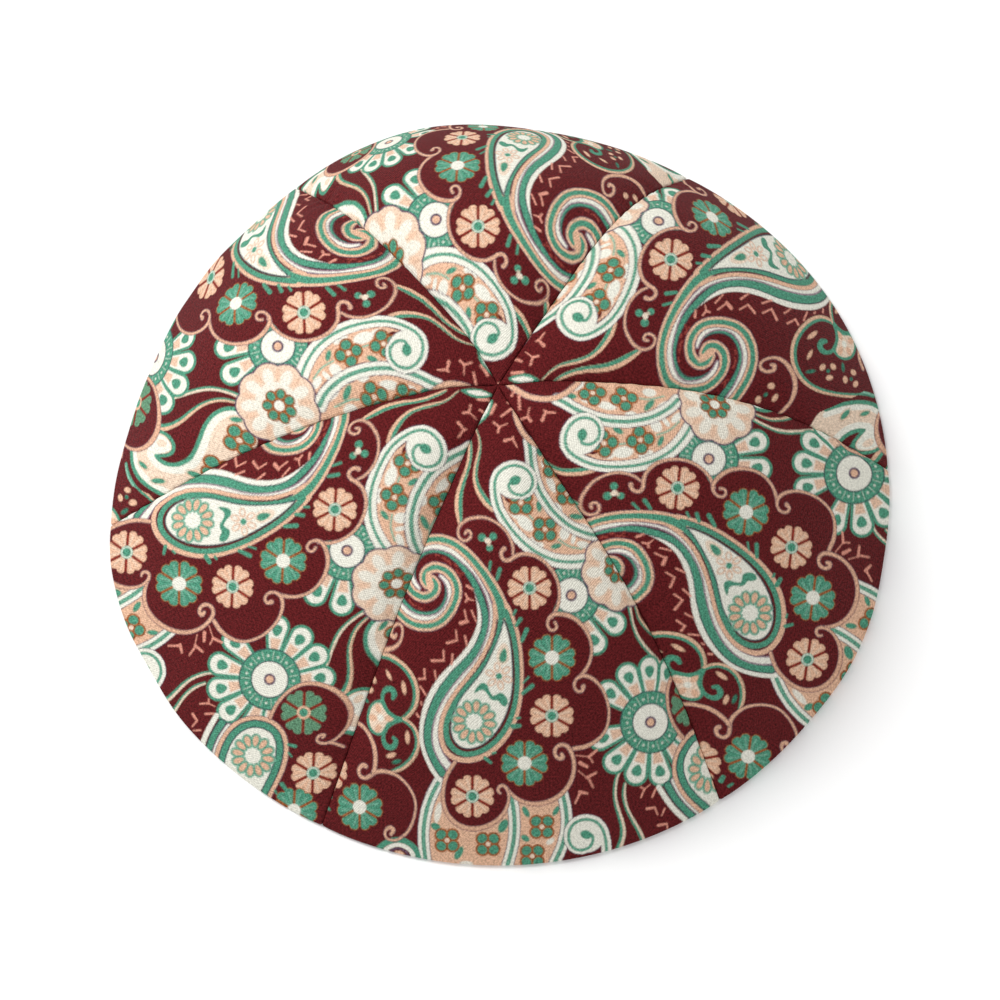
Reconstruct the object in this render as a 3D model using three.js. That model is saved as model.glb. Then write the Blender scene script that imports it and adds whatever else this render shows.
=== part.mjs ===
// A kippah: a shallow cloth skullcap sewn from six gores that meet at the crown,
// resting on its rim. Millimetres, +Z up, the front towards -Y. The origin lies on
// the surface that it rests on, under the middle of the rim's box.

import * as THREE from "three";

// Driving dimensions.
const RIM_RADIUS = 85; // mean radius of the rim, over the cloth
const CROWN_HEIGHT = 58; // from the surface to the crown
const CLOTH_WALL = 1.6; // the doubled cloth of a gore
const SEAM_GAP = 0.3; // clear air between two gores along a seam
const TIP_RADIUS = 0.9; // how near the crown's centre the gores' points reach
const DOME_POWER = 2.45; // 2 is a plain bowl; more is flatter on top, steeper at the rim
const GORE_PUFF = 1.5; // how far a gore swells between its two seams
const SEAM_DIP = 1.3; // how deep the cloth is drawn in along a seam
const SEAM_DIP_REACH = 5; // how far from the seam that dip has faded to a third
const CROWN_DIP = 1.6; // how deep the crown is drawn in where the points meet
const CROWN_DIP_REACH = 7; // how far from the crown that dip has faded to a third
const FOLD_DEPTH = 2.2; // the deepest soft fold in the cloth

// Mesh steps of one gore.
const STEPS_ACROSS = 12;
const STEPS_DOWN = 16;

// The seams, in order round the cap. Bearings are degrees from the front, positive
// towards +X. The bearing of the seam at its foot, and how far the seam has swung
// from that at the crown and half way down. dip is a share of SEAM_DIP.
const SEAMS = [
  { foot: -147.5, crown: -5, middle: 1, dip: 1.0 }, // back left
  { foot: -83.5, crown: -3, middle: 2, dip: 0.8 }, // left
  { foot: -25.8, crown: 1, middle: 1, dip: 1.0 }, // front left
  { foot: 33.2, crown: -5, middle: 1, dip: 1.0 }, // front right
  { foot: 92.2, crown: 0, middle: 1, dip: 0.7 }, // right
  { foot: 149.9, crown: -3, middle: 1, dip: 0.9 }, // back right
];

// The gores, each from one seam to the next in the list above.
const GORES = ["back_left", "front_left", "front", "front_right", "back_right", "back"];

// The rim seen from above: its radius as a share of RIM_RADIUS at each bearing.
const RIM_PLAN = [
  { bearing: -147, share: 0.994 },
  { bearing: -138, share: 0.974 },
  { bearing: -128, share: 0.968 },
  { bearing: -114, share: 0.965 },
  { bearing: -100, share: 0.958 },
  { bearing: -88, share: 0.98 },
  { bearing: -77, share: 1.003 },
  { bearing: -58, share: 1.008 },
  { bearing: -40, share: 0.999 },
  { bearing: -26, share: 0.996 },
  { bearing: 4, share: 0.996 },
  { bearing: 33, share: 0.996 },
  { bearing: 50, share: 0.996 },
  { bearing: 63, share: 1.005 },
  { bearing: 92, share: 0.998 },
  { bearing: 121, share: 1.006 },
  { bearing: 150, share: 1.003 },
  { bearing: 172, share: 1.012 },
  { bearing: -170, share: 1.034 },
  { bearing: -158, share: 1.02 },
];

// Soft folds and dents. down is the share of the way from the crown to the rim,
// wide is a share of RIM_RADIUS, long a share of that way, deep a share of FOLD_DEPTH.
const FOLDS = [
  { bearing: -17, down: 0.3, wide: 0.07, long: 0.2, deep: 0.55 },
  { bearing: 26, down: 0.32, wide: 0.06, long: 0.22, deep: 0.6 },
  { bearing: 158, down: 0.36, wide: 0.075, long: 0.22, deep: 0.6 },
  { bearing: -141, down: 0.4, wide: 0.07, long: 0.2, deep: 0.5 },
  { bearing: -113, down: 0.95, wide: 0.15, long: 0.22, deep: 0.5 },
  { bearing: -124, down: 0.82, wide: 0.07, long: 0.16, deep: 0.5 },
  { bearing: -60, down: 0.9, wide: 0.11, long: 0.2, deep: 0.35 },
  { bearing: 78, down: 0.86, wide: 0.12, long: 0.18, deep: 0.35 },
];

const CLOTH = { color: 0x6b2a2e, roughness: 0.85, metalness: 0 };

const DEGREE = Math.PI / 180;

// The shortest turn from one bearing to another, in degrees.
function turn(from, to) {
  return ((((to - from + 180) % 360) + 360) % 360) - 180;
}

// The rim's radius as a share at any bearing, smooth through the rows of the plan.
function rimShare(bearing) {
  const count = RIM_PLAN.length;
  const row = (index) => RIM_PLAN[(index + count) % count];
  let at = 0;
  for (let index = 0; index < count; index += 1) {
    const span = (turn(row(index).bearing, row(index + 1).bearing) + 360) % 360;
    const past = (turn(row(index).bearing, bearing) + 360) % 360;
    if (past < span) {
      at = index;
      break;
    }
  }
  const span = (turn(row(at).bearing, row(at + 1).bearing) + 360) % 360;
  const past = (turn(row(at).bearing, bearing) + 360) % 360;
  const x = past / span;
  const [a, b, c, d] = [row(at - 1), row(at), row(at + 1), row(at + 2)].map((r) => r.share);
  const startSlope = (c - a) / 2;
  const endSlope = (d - b) / 2;
  const square = x * x;
  const cube = square * x;
  return (
    b * (2 * cube - 3 * square + 1) +
    startSlope * (cube - 2 * square + x) +
    c * (3 * square - 2 * cube) +
    endSlope * (cube - square)
  );
}

// A seam's bearing at a share of the way down from the crown.
function seamBearing(seam, down) {
  const nearCrown = (1 - down) ** 4;
  return seam.foot + seam.crown * nearCrown + seam.middle * 4 * down * (1 - down);
}

// The plain dome, before puff, dips and folds.
function domePoint(bearing, down) {
  const plan = 1 + (rimShare(bearing) - 1) * down ** 2;
  const radius = RIM_RADIUS * down * plan;
  return new THREE.Vector3(
    radius * Math.sin(bearing * DEGREE),
    -radius * Math.cos(bearing * DEGREE),
    CROWN_HEIGHT * (1 - down ** DOME_POWER),
  );
}

// The outward direction of the plain dome.
function domeNormal(bearing, down) {
  const step = 1e-3;
  const start = Math.max(down, 0.02);
  const around = domePoint(bearing + 1, start).sub(domePoint(bearing - 1, start));
  const along = domePoint(bearing, start + step).sub(domePoint(bearing, start - step));
  return along.cross(around).normalize();
}

// How far the cloth stands off the plain dome: the gores' puff, the seams' dips, the folds.
function relief(bearing, down, across) {
  const away = Math.abs(2 * across - 1);
  const fromCrown = Math.sin((Math.PI / 2) * Math.min(1, down / 0.35)) ** 2;
  let height = GORE_PUFF * fromCrown * (1 - down ** 4) * (1 - away ** 3);
  for (const seam of SEAMS) {
    const aside = RIM_RADIUS * down * turn(seamBearing(seam, down), bearing) * DEGREE;
    const depth = SEAM_DIP * seam.dip * fromCrown * (1 - down ** 3);
    height -= depth * Math.exp(-((aside / SEAM_DIP_REACH) ** 2));
  }
  height -= CROWN_DIP * Math.exp(-((RIM_RADIUS * down / CROWN_DIP_REACH) ** 2));
  for (const fold of FOLDS) {
    const side = (down * turn(fold.bearing, bearing) * DEGREE) / fold.wide;
    const along = (down - fold.down) / fold.long;
    height -= FOLD_DEPTH * fold.deep * Math.exp(-(side ** 2) - along ** 2);
  }
  return height;
}

// A point of the cloth, on its outer face or its inner one. The rim's own faces
// are cut level, so there the two faces differ only sideways.
function clothPoint(bearing, down, across, inside) {
  const normal = domeNormal(bearing, down);
  const point = domePoint(bearing, down);
  const height = relief(bearing, down, across);
  if (down === 1) {
    const sideways = new THREE.Vector3(normal.x, normal.y, 0).normalize();
    const wall = inside ? CLOTH_WALL / Math.hypot(normal.x, normal.y) : 0;
    return point.addScaledVector(sideways, height - wall);
  }
  return point.addScaledVector(normal, height - (inside ? CLOTH_WALL : 0));
}

// The bearing of a place in a gore, half a gap clear of both seams.
function goreBearing(left, right, down, across) {
  const halfGap = Math.asin(SEAM_GAP / 2 / (RIM_RADIUS * down)) / DEGREE;
  const start = seamBearing(left, down) + halfGap;
  const end = start + ((turn(start, seamBearing(right, down) - halfGap) + 360) % 360);
  return start + (end - start) * across;
}

// One gore: outer and inner faces, the two seam edges, the rim edge and the blunt tip.
function goreGeometry(left, right) {
  const positions = [];
  const rows = STEPS_DOWN + 1;
  const columns = STEPS_ACROSS + 1;
  const tip = TIP_RADIUS / RIM_RADIUS;
  for (const inside of [false, true]) {
    for (let row = 0; row < rows; row += 1) {
      const down = row === STEPS_DOWN ? 1 : tip + (1 - tip) * (row / STEPS_DOWN);
      for (let column = 0; column < columns; column += 1) {
        const across = column / STEPS_ACROSS;
        const point = clothPoint(goreBearing(left, right, down, across), down, across, inside);
        positions.push(point.x, point.y, point.z);
      }
    }
  }
  const faces = [];
  const at = (inside, row, column) => (inside ? rows * columns : 0) + row * columns + column;
  const quad = (a, b, c, d) => faces.push(a, b, c, a, c, d);
  for (let row = 0; row < STEPS_DOWN; row += 1) {
    for (let column = 0; column < STEPS_ACROSS; column += 1) {
      quad(at(false, row, column), at(false, row + 1, column),
        at(false, row + 1, column + 1), at(false, row, column + 1));
      quad(at(true, row, column), at(true, row, column + 1),
        at(true, row + 1, column + 1), at(true, row + 1, column));
    }
    quad(at(false, row, 0), at(true, row, 0), at(true, row + 1, 0), at(false, row + 1, 0));
    quad(at(false, row, STEPS_ACROSS), at(false, row + 1, STEPS_ACROSS),
      at(true, row + 1, STEPS_ACROSS), at(true, row, STEPS_ACROSS));
  }
  for (let column = 0; column < STEPS_ACROSS; column += 1) {
    quad(at(false, 0, column), at(false, 0, column + 1), at(true, 0, column + 1), at(true, 0, column));
    quad(at(false, STEPS_DOWN, column), at(true, STEPS_DOWN, column),
      at(true, STEPS_DOWN, column + 1), at(false, STEPS_DOWN, column + 1));
  }
  const geometry = new THREE.BufferGeometry();
  geometry.setAttribute("position", new THREE.Float32BufferAttribute(positions, 3));
  geometry.setIndex(faces);
  geometry.computeVertexNormals();
  return geometry;
}

// The six gores, moved together so that the origin is under the middle of their box.
function kippah() {
  const cap = new THREE.Group();
  GORES.forEach((name, index) => {
    const left = SEAMS[index];
    const right = SEAMS[(index + 1) % SEAMS.length];
    const mesh = new THREE.Mesh(goreGeometry(left, right), new THREE.MeshStandardMaterial(CLOTH));
    mesh.name = "gore_" + name;
    cap.add(mesh);
  });
  const middle = new THREE.Box3().setFromObject(cap).getCenter(new THREE.Vector3());
  cap.position.set(-middle.x, -middle.y, 0);
  return cap;
}

const group = kippah();

export default group;
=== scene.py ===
"""A printed cloth kippah: six gores sewn to a dome, resting on its rim on a white floor."""

import math

import bpy
import numpy as np
from mathutils import Matrix, Vector


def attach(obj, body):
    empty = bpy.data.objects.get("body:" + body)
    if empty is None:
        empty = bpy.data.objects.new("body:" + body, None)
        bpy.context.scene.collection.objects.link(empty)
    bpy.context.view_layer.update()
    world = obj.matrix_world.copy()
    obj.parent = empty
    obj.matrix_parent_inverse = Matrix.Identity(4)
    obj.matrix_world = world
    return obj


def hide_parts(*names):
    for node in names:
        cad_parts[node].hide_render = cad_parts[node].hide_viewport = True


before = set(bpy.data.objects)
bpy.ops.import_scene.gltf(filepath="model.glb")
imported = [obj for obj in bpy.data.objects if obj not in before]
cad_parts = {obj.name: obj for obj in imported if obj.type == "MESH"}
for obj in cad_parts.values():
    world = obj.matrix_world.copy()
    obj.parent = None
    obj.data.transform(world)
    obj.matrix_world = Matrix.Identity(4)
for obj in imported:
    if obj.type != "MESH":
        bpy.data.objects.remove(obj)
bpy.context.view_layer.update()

# Sizes are in millimetres until a mesh is made, then in metres.
METRES = 0.001

# The dome, as in the part's source.
RIM_RADIUS = 85.0
CROWN_HEIGHT = 58.0
CLOTH_WALL = 1.6
DOME_POWER = 2.45
GORE_PUFF = 1.5
SEAM_DIP = 1.3
SEAM_DIP_REACH = 5.0
CROWN_DIP = 1.6
CROWN_DIP_REACH = 7.0
FOLD_DEPTH = 2.2
SOLID_STEPS_ACROSS = 12

# Cloth details that only the looks have.
SEAM_ROLL = 0.55  # radius of a gore's turned edge along a seam
RIM_ROLL = 0.8  # radius of the turned edge at the rim
LEVEL_FROM = 0.8  # share of the way down where the relief starts to turn level
LEVEL_TO = 0.985  # and where it is level
LINING_END = 0.985  # share of the cloth's length that the inner face has
SEAM_CLEARANCE = 0.03  # between two turned edges
PUCKER = 0.16  # height of the small waves that the stitches draw along a seam
PUCKER_LENGTH = 5.2  # from one wave to the next
PUCKER_REACH = 4.5  # how far from the seam they have faded to a third
SEAM_DRAW = 0.75  # how deep the stitches draw the cloth in, close to the seam
SEAM_DRAW_REACH = 2.3
CROWN_REACH = 0.35  # share of the way down where puff and dips reach their full height
PUCKERS_FROM = 0.25  # share of the way down where the puckers reach theirs
DRAW_FROM = 0.2  # and the stitches' draw
RIM_FADE = 0.08  # share of the way up from the rim over which both fade out
LATTICE_STEPS = 390  # mesh steps along each side of a gore's outer face
LINING_STEPS = 39  # and of its inner face
FIRST_CUTS = 13  # steps of a lattice's first division
CURVE_SAMPLES = 400  # steps that measure the cloth's length from crown to rim
LEAST_DOWN = 1e-4  # keeps the crown's point from dividing by nothing

# Bearings are degrees from the front, positive towards +X.
SEAMS = [
    {"foot": -147.5, "crown": -5.0, "middle": 1.0, "dip": 1.0},
    {"foot": -83.5, "crown": -3.0, "middle": 2.0, "dip": 0.8},
    {"foot": -25.8, "crown": 1.0, "middle": 1.0, "dip": 1.0},
    {"foot": 33.2, "crown": -5.0, "middle": 1.0, "dip": 1.0},
    {"foot": 92.2, "crown": 0.0, "middle": 1.0, "dip": 0.7},
    {"foot": 149.9, "crown": -3.0, "middle": 1.0, "dip": 0.9},
]

# The rim's radius as a share of RIM_RADIUS at each bearing.
RIM_PLAN = {
    -147: 0.994, -138: 0.974, -128: 0.968, -114: 0.965, -100: 0.958,
    -88: 0.98, -77: 1.003, -58: 1.008, -40: 0.999, -26: 0.996,
    4: 0.996, 33: 0.996, 50: 0.996, 63: 1.005, 92: 0.998,
    121: 1.006, 150: 1.003, 172: 1.012, -170: 1.034, -158: 1.02,
}

# Soft folds: bearing, share of the way down, width, length and depth, as in the part's source.
FOLDS = [
    {"bearing": -17, "down": 0.3, "wide": 0.07, "long": 0.2, "deep": 0.55},
    {"bearing": 26, "down": 0.32, "wide": 0.06, "long": 0.22, "deep": 0.6},
    {"bearing": 158, "down": 0.36, "wide": 0.075, "long": 0.22, "deep": 0.6},
    {"bearing": -141, "down": 0.4, "wide": 0.07, "long": 0.2, "deep": 0.5},
    {"bearing": -113, "down": 0.95, "wide": 0.15, "long": 0.22, "deep": 0.5},
    {"bearing": -124, "down": 0.82, "wide": 0.07, "long": 0.16, "deep": 0.5},
    {"bearing": -60, "down": 0.9, "wide": 0.11, "long": 0.2, "deep": 0.35},
    {"bearing": 78, "down": 0.86, "wide": 0.12, "long": 0.18, "deep": 0.35},
]

# Each gore runs from seam number left to the next one. The print on it is turned by
# turn degrees in the photo's frame, and the print's own origin lands on pixel land.
GORES = {
    "back_left": {"left": 0, "turn": 117.34, "land": (499.5, 379.4)},
    "front_left": {"left": 1, "turn": 63.37, "land": (502.2, 391.6)},
    "front": {"left": 2, "turn": 0.0, "land": (497.0, 387.0)},
    "front_right": {"left": 3, "turn": -52.94, "land": (495.5, 393.7)},
    "back_right": {"left": 4, "turn": -113.97, "land": (498.5, 374.1)},
    "back": {"left": 5, "turn": 180.0, "land": (510.3, 431.5)},
}

# The photo's lens and place.
IMAGE_SIZE = 1000.0  # pixels
CAMERA_TILT = 69.0  # degrees above the front
PIXELS_PER_MM = 394.3 / 85.0
CAMERA_DISTANCE = 8.0 * RIM_RADIUS
RIM_MIDDLE_PIXEL = (498.1, 485.2)
SENSOR = 36.0
PRINT_PIXELS_PER_MM = 4.7  # the print's own scale in the photo
LEAST_PRINT_SCALE = 0.55  # on cloth that turns away from the camera
PRINT_COLUMNS = 80  # cells across a gore between which the print's place is shared out
PRINT_ROWS = 160  # and cells from the crown to the rim
JUST_UNDER = 1e-6  # keeps the last place inside the last cell


# The form


def turn_between(start, end):
    """The shortest turn from one bearing to another, in degrees."""
    return (end - start + 180.0) % 360.0 - 180.0


def rim_share(bearing):
    """The rim's radius as a share at any bearing, smooth through the plan's rows."""
    at = np.array(list(RIM_PLAN.keys()), float)
    share = np.array(list(RIM_PLAN.values()))
    span = (np.roll(at, -1) - at) % 360.0
    past = (np.asarray(bearing, float)[..., None] - at) % 360.0
    row = (past < span).argmax(-1)
    x = np.take_along_axis(past, row[..., None], -1)[..., 0] / span[row]
    before, here, after, beyond = (share[(row + step) % len(at)] for step in (-1, 0, 1, 2))
    start_slope = (after - before) / 2
    end_slope = (beyond - here) / 2
    square = x * x
    cube = square * x
    return (
        here * (2 * cube - 3 * square + 1)
        + start_slope * (cube - 2 * square + x)
        + after * (3 * square - 2 * cube)
        + end_slope * (cube - square)
    )


def seam_bearing(seam, down):
    """A seam's bearing at a share of the way down from the crown."""
    swing = seam["crown"] * (1 - down) ** 4 + seam["middle"] * 4 * down * (1 - down)
    return seam["foot"] + swing


def dome_point(bearing, down):
    """The plain dome, before puff, dips and folds."""
    radius = RIM_RADIUS * down * (1 + (rim_share(bearing) - 1) * down**2)
    angle = np.radians(bearing)
    height = CROWN_HEIGHT * (1 - down**DOME_POWER)
    return np.stack([radius * np.sin(angle), -radius * np.cos(angle), height], -1)


def unit(vectors):
    """Vectors brought to length one."""
    return vectors / np.linalg.norm(vectors, axis=-1, keepdims=True)


def dome_normal(bearing, down):
    """The outward direction of the plain dome."""
    step = 1e-3
    start = np.maximum(down, 0.02)
    around = dome_point(bearing + 1, start) - dome_point(bearing - 1, start)
    along = dome_point(bearing, start + step) - dome_point(bearing, start - step)
    return unit(np.cross(along, around))


def relief(bearing, down, across):
    """How far the cloth stands off the plain dome."""
    away = np.abs(2 * across - 1)
    from_crown = np.sin(np.pi / 2 * np.minimum(1, down / CROWN_REACH)) ** 2
    height = GORE_PUFF * from_crown * (1 - down**4) * (1 - away**3)
    for seam in SEAMS:
        aside = RIM_RADIUS * down * np.radians(turn_between(seam_bearing(seam, down), bearing))
        depth = SEAM_DIP * seam["dip"] * from_crown * (1 - down**3)
        height = height - depth * np.exp(-((aside / SEAM_DIP_REACH) ** 2))
    height = height - CROWN_DIP * np.exp(-((RIM_RADIUS * down / CROWN_DIP_REACH) ** 2))
    for fold in FOLDS:
        side = down * np.radians(turn_between(fold["bearing"], bearing)) / fold["wide"]
        along = (down - fold["down"]) / fold["long"]
        height = height - FOLD_DEPTH * fold["deep"] * np.exp(-(side**2) - along**2)
    return height


def puckers(bearing, down):
    """The small waves beside the seams, and how the stitches draw the cloth in."""
    height = np.zeros_like(bearing)
    drawn = np.zeros_like(bearing)
    for number, seam in enumerate(SEAMS):
        aside = RIM_RADIUS * down * np.radians(turn_between(seam_bearing(seam, down), bearing))
        run = down * (RIM_RADIUS + 20 * down) / PUCKER_LENGTH + 0.37 * number
        wander = 0.35 * np.sin(run * 2.3 + number) + 0.12 * aside
        wave = np.sin(2 * np.pi * run + 2.2 * wander)
        strength = PUCKER * np.clip(down / PUCKERS_FROM, 0, 1) * (0.7 + 0.3 * np.sin(run * 1.7 + 2 * number))
        height = height + wave * strength * np.exp(-((aside / PUCKER_REACH) ** 2))
        drawn = drawn + SEAM_DRAW * seam["dip"] * np.exp(-((aside / SEAM_DRAW_REACH) ** 2))
    from_crown = np.clip(down / DRAW_FROM, 0, 1)
    return (height - drawn * from_crown) * np.clip((1 - down) / RIM_FADE, 0, 1)


def gore_ends(gore, down):
    """The bearing of a gore's left seam, and how far it is to the right one."""
    left = seam_bearing(SEAMS[gore["left"]], down)
    right = seam_bearing(SEAMS[(gore["left"] + 1) % len(SEAMS)], down)
    return left, (right - left) % 360.0


def solids_middle():
    """The middle of the solids' rim, which the part's source puts on the origin."""
    corners = []
    for gore in GORES.values():
        across = np.linspace(0, 1, SOLID_STEPS_ACROSS + 1)
        down = np.ones_like(across)
        left, span = gore_ends(gore, down)
        bearing = left + span * across
        flat = unit(dome_normal(bearing, down) * [1, 1, 0])
        corners.append(dome_point(bearing, down) + flat * relief(bearing, down, across)[:, None])
    corners = np.concatenate(corners)
    return (corners.max(0) + corners.min(0))[:2] / 2


SHIFT = np.array([*-solids_middle(), 0.0])

# The cloth's slope at the rim, and how far the rim's turned edge is rolled from there
# until it points straight down.
RIM_SLOPE = math.atan(CROWN_HEIGHT * DOME_POWER / RIM_RADIUS)
RIM_ROLL_ANGLE = math.pi - RIM_SLOPE


def way_down(length_share):
    """The share of the way down at a share of the cloth's length, and the roll at the rim."""
    down = np.linspace(0, 1, CURVE_SAMPLES)
    slope = CROWN_HEIGHT * DOME_POWER * down ** (DOME_POWER - 1)
    steps = np.hypot(RIM_RADIUS, (slope[1:] + slope[:-1]) / 2) / (len(down) - 1)
    length = np.concatenate([[0], np.cumsum(steps)])
    edge_height = RIM_ROLL * (1 + math.cos(RIM_SLOPE))
    rim_turn = (1 - edge_height / CROWN_HEIGHT) ** (1 / DOME_POWER)
    to_turn = np.interp(rim_turn, down, length)
    along = length_share * (to_turn + RIM_ROLL * RIM_ROLL_ANGLE)
    roll = np.maximum(along - to_turn, 0) / RIM_ROLL
    return np.interp(np.minimum(along, to_turn), length, down), roll


def turned_in(bearing, down, across, depth, roll, raised):
    """A point at a depth under the outer face, carried round the rim's turned edge by roll."""
    normal = dome_normal(bearing, down)
    flat = unit(normal * [1, 1, 0])
    steep = np.linalg.norm(normal[..., :2], axis=-1)[..., None]
    level = np.clip((down - LEVEL_FROM) / (LEVEL_TO - LEVEL_FROM), 0, 1)[..., None]
    level = level * level * (3 - 2 * level)
    direction = unit(normal * (1 - level) + flat * level)
    height = (relief(bearing, down, across) + raised)[..., None]
    middle = dome_point(bearing, down) + direction * height - normal * RIM_ROLL
    tangent = flat * normal[..., 2:] - np.array([0, 0, 1.0]) * steep
    heading = normal * np.cos(roll)[..., None] + unit(tangent) * np.sin(roll)[..., None]
    return middle + heading * (RIM_ROLL - depth)[..., None]


def outer_face(gore, across, length_share):
    """The gore's printed face, with its edges turned in along the seams and the rim."""
    down, roll = way_down(length_share)
    left, span = gore_ends(gore, down)
    per_degree = RIM_RADIUS * np.maximum(down, LEAST_DOWN) * np.pi / 180
    width = span * per_degree - SEAM_CLEARANCE
    radius = np.minimum(SEAM_ROLL, width / 2.4)
    turned = radius * (np.pi / 2 - 1)  # what a rolled edge takes more than a flat one
    cloth_width = width + 2 * turned
    from_left = across * cloth_width
    from_edge = np.minimum(from_left, cloth_width - from_left)
    angle = np.clip((radius * np.pi / 2 - from_edge) / radius, 0, np.pi / 2)
    inset = np.where(angle > 0, radius * (1 - np.sin(angle)), from_edge - turned)
    depth = radius * (1 - np.cos(angle))
    aside = np.where(across < 0.5, inset, width - inset) + SEAM_CLEARANCE / 2
    bearing = left + aside / per_degree
    share = aside / (width + SEAM_CLEARANCE)
    points = turned_in(bearing, down, share, depth, roll, puckers(bearing, down))
    return points, down, share


def lining_face(gore, across, length_share):
    """The gore's inner face."""
    down, _ = way_down(length_share * LINING_END)
    left, span = gore_ends(gore, down)
    per_degree = RIM_RADIUS * np.maximum(down, LEAST_DOWN) * np.pi / 180
    width = span * per_degree - SEAM_CLEARANCE
    bearing = left + (SEAM_CLEARANCE / 2 + width * across) / per_degree
    depth = np.full_like(bearing, CLOTH_WALL)
    plain = np.zeros_like(bearing)
    return turned_in(bearing, down, across, depth, plain, plain)


# The print's place on the cloth


def seen_pixel(points):
    """Where the photo shows a point of the dome."""
    tilt = math.radians(CAMERA_TILT)
    up = points[..., 1] * math.sin(tilt) + points[..., 2] * math.cos(tilt)
    toward = points[..., 2] * math.sin(tilt) - points[..., 1] * math.cos(tilt)
    scale = PIXELS_PER_MM * CAMERA_DISTANCE / (CAMERA_DISTANCE - toward)
    middle_x, middle_y = RIM_MIDDLE_PIXEL
    return np.stack([middle_x + points[..., 0] * scale, middle_y - up * scale], -1)


def print_places(gore, across, down):
    """Where each place of a gore lies on the print, in millimetres.

    The print runs as the photo shows it, but cloth that turns away from the camera
    keeps at least a part of the print's own scale.
    """
    row_down = np.linspace(0, 1, PRINT_ROWS + 1)[:, None] * np.ones(PRINT_COLUMNS + 1)
    left, span = gore_ends(gore, row_down)
    points = dome_point(left + span * np.linspace(0, 1, PRINT_COLUMNS + 1), row_down)
    pixels = seen_pixel(points)
    steps = np.diff(pixels, axis=0)
    cloth_steps = np.linalg.norm(np.diff(points, axis=0), axis=-1)
    least = LEAST_PRINT_SCALE * PRINT_PIXELS_PER_MM * cloth_steps
    stretch = np.maximum(1, least / np.linalg.norm(steps, axis=-1))
    run = np.cumsum(steps * stretch[..., None], axis=0)
    places = np.concatenate([pixels[:1], pixels[:1] + run])
    turn = math.radians(gore["turn"])
    aside = (places[..., 0] - gore["land"][0]) / PRINT_PIXELS_PER_MM
    along = (places[..., 1] - gore["land"][1]) / PRINT_PIXELS_PER_MM
    print_x = aside * math.cos(turn) + along * math.sin(turn)
    print_y = along * math.cos(turn) - aside * math.sin(turn)
    return in_grid(np.stack([print_x, print_y], -1), across, down)


def in_grid(grid, across, down):
    """Values at any places of a gore, shared out between a grid's nearest four."""
    column = np.clip(across, 0, 1) * (PRINT_COLUMNS - JUST_UNDER)
    row = np.clip(down, 0, 1) * (PRINT_ROWS - JUST_UNDER)
    at_column = column.astype(int)
    at_row = row.astype(int)
    column_share = (column - at_column)[:, None]
    row_share = (row - at_row)[:, None]

    def along_row(number):
        before = grid[number, at_column]
        after = grid[number, at_column + 1]
        return before * (1 - column_share) + after * column_share

    return along_row(at_row) * (1 - row_share) + along_row(at_row + 1) * row_share


# The weave, in millimetres where it is a size.
TWILL_PITCH = 0.62
WEFT_PITCH = 0.5
TWILL_HEIGHT = 0.5  # of the ribs' part in the relief
WEFT_HEIGHT = 0.35
WANDER_SCALE = 0.35  # how closely the threads' wander changes
WANDER = 0.9
GRAIN_SCALE = 2.3
GRAIN_DEPTH = 1.7
# painted shade: the colour darkens where the threads lie low and lightens where they stand high
THREAD_PAINTED_SHADE = 0.13
BLOTCH_SCALE = 0.09
BLOTCH_DEPTH = 0.2
CLOTH_SHADE = 0.81
PALE_CALM = 0.72  # how much evener the weave looks on white dye
PALE_LIFT = 0.04
BUMP_STRENGTH = 0.6
BUMP_DISTANCE = 0.0001  # metres
SPECULAR = 0.05
ROUGHNESS = 0.75
LINING_LIGHT = 1.1  # the unprinted inner face, as a share of the ground colour

# The light, and the floor under the cap.
FLOOR_SIZE = 6  # metres
FLOOR_WHITE = (0.97, 0.97, 0.97)
FLOOR_ROUGHNESS = 0.95
WORLD_STRENGTH = 0.61
LAMP_AIM = (0, 0, 0.02)
LAMPS = [
    {"name": "key", "place": (-0.8, 0.5, 1.1), "power": 15.6, "size": 0.6},
    {"name": "fill", "place": (0.6, -0.9, 1.3), "power": 3.5, "size": 1.2},
]


# The print: its dyes


def from_screen(red, green, blue):
    """A colour as seen on a screen, 0 to 255, as light."""
    share = np.array([red, green, blue]) / 255
    return np.where(share <= 0.04045, share / 12.92, ((share + 0.055) / 1.055) ** 2.4)


GROUND = from_screen(100, 30, 32)
GREEN = from_screen(84, 155, 127)
PALE_GREEN = from_screen(138, 190, 166)
CREAM = from_screen(244, 242, 228)
PEACH = from_screen(235, 189, 158)
LINE_PEACH = from_screen(214, 162, 134)
PALE_PEACH = from_screen(243, 218, 194)
BROWN = from_screen(166, 92, 46)
RUST = from_screen(140, 44, 32)
PLUM = from_screen(104, 84, 104)
MAUVE = from_screen(160, 138, 148)
SLATE = from_screen(58, 78, 84)
PINK = from_screen(232, 158, 138)
DIM_PINK = from_screen(150, 66, 58)
DEEP_GREEN = from_screen(60, 126, 102)
MOSS = from_screen(104, 150, 118)

# In millimetres.
EDGE_SOFTNESS = 0.26  # how wide a dye's edge is
MARGIN = 0.5  # how far beyond a motif its places are still looked at
FAR = 9.0  # beyond every motif's reach
TINY = 1e-9  # keeps a division from dividing by nothing
CURVE_STEPS = 6  # steps from one charted point to the next
CURVE_CHUNK = 8  # steps of a curve that are laid on at once
LEFT_HALF = 0.52  # a two-tone stroke's left colour, as a share of its width
LEAF_EDGE = 0.16  # the plum line round a leaf's white border
HEAD_EDGE = 0.15  # and round a curl's head
MOTTLE_GROWTH = 1.25  # of the mottles' charted size
ARM_END_STEPS = 48  # steps of the arm that are laid over the drop's lines again
HOOK_WHITE_POINTS = 16  # charted points of the bands that the second hook has too
HOOK_GREEN_POINTS = 14

# The print: drawing on the cloth


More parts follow.
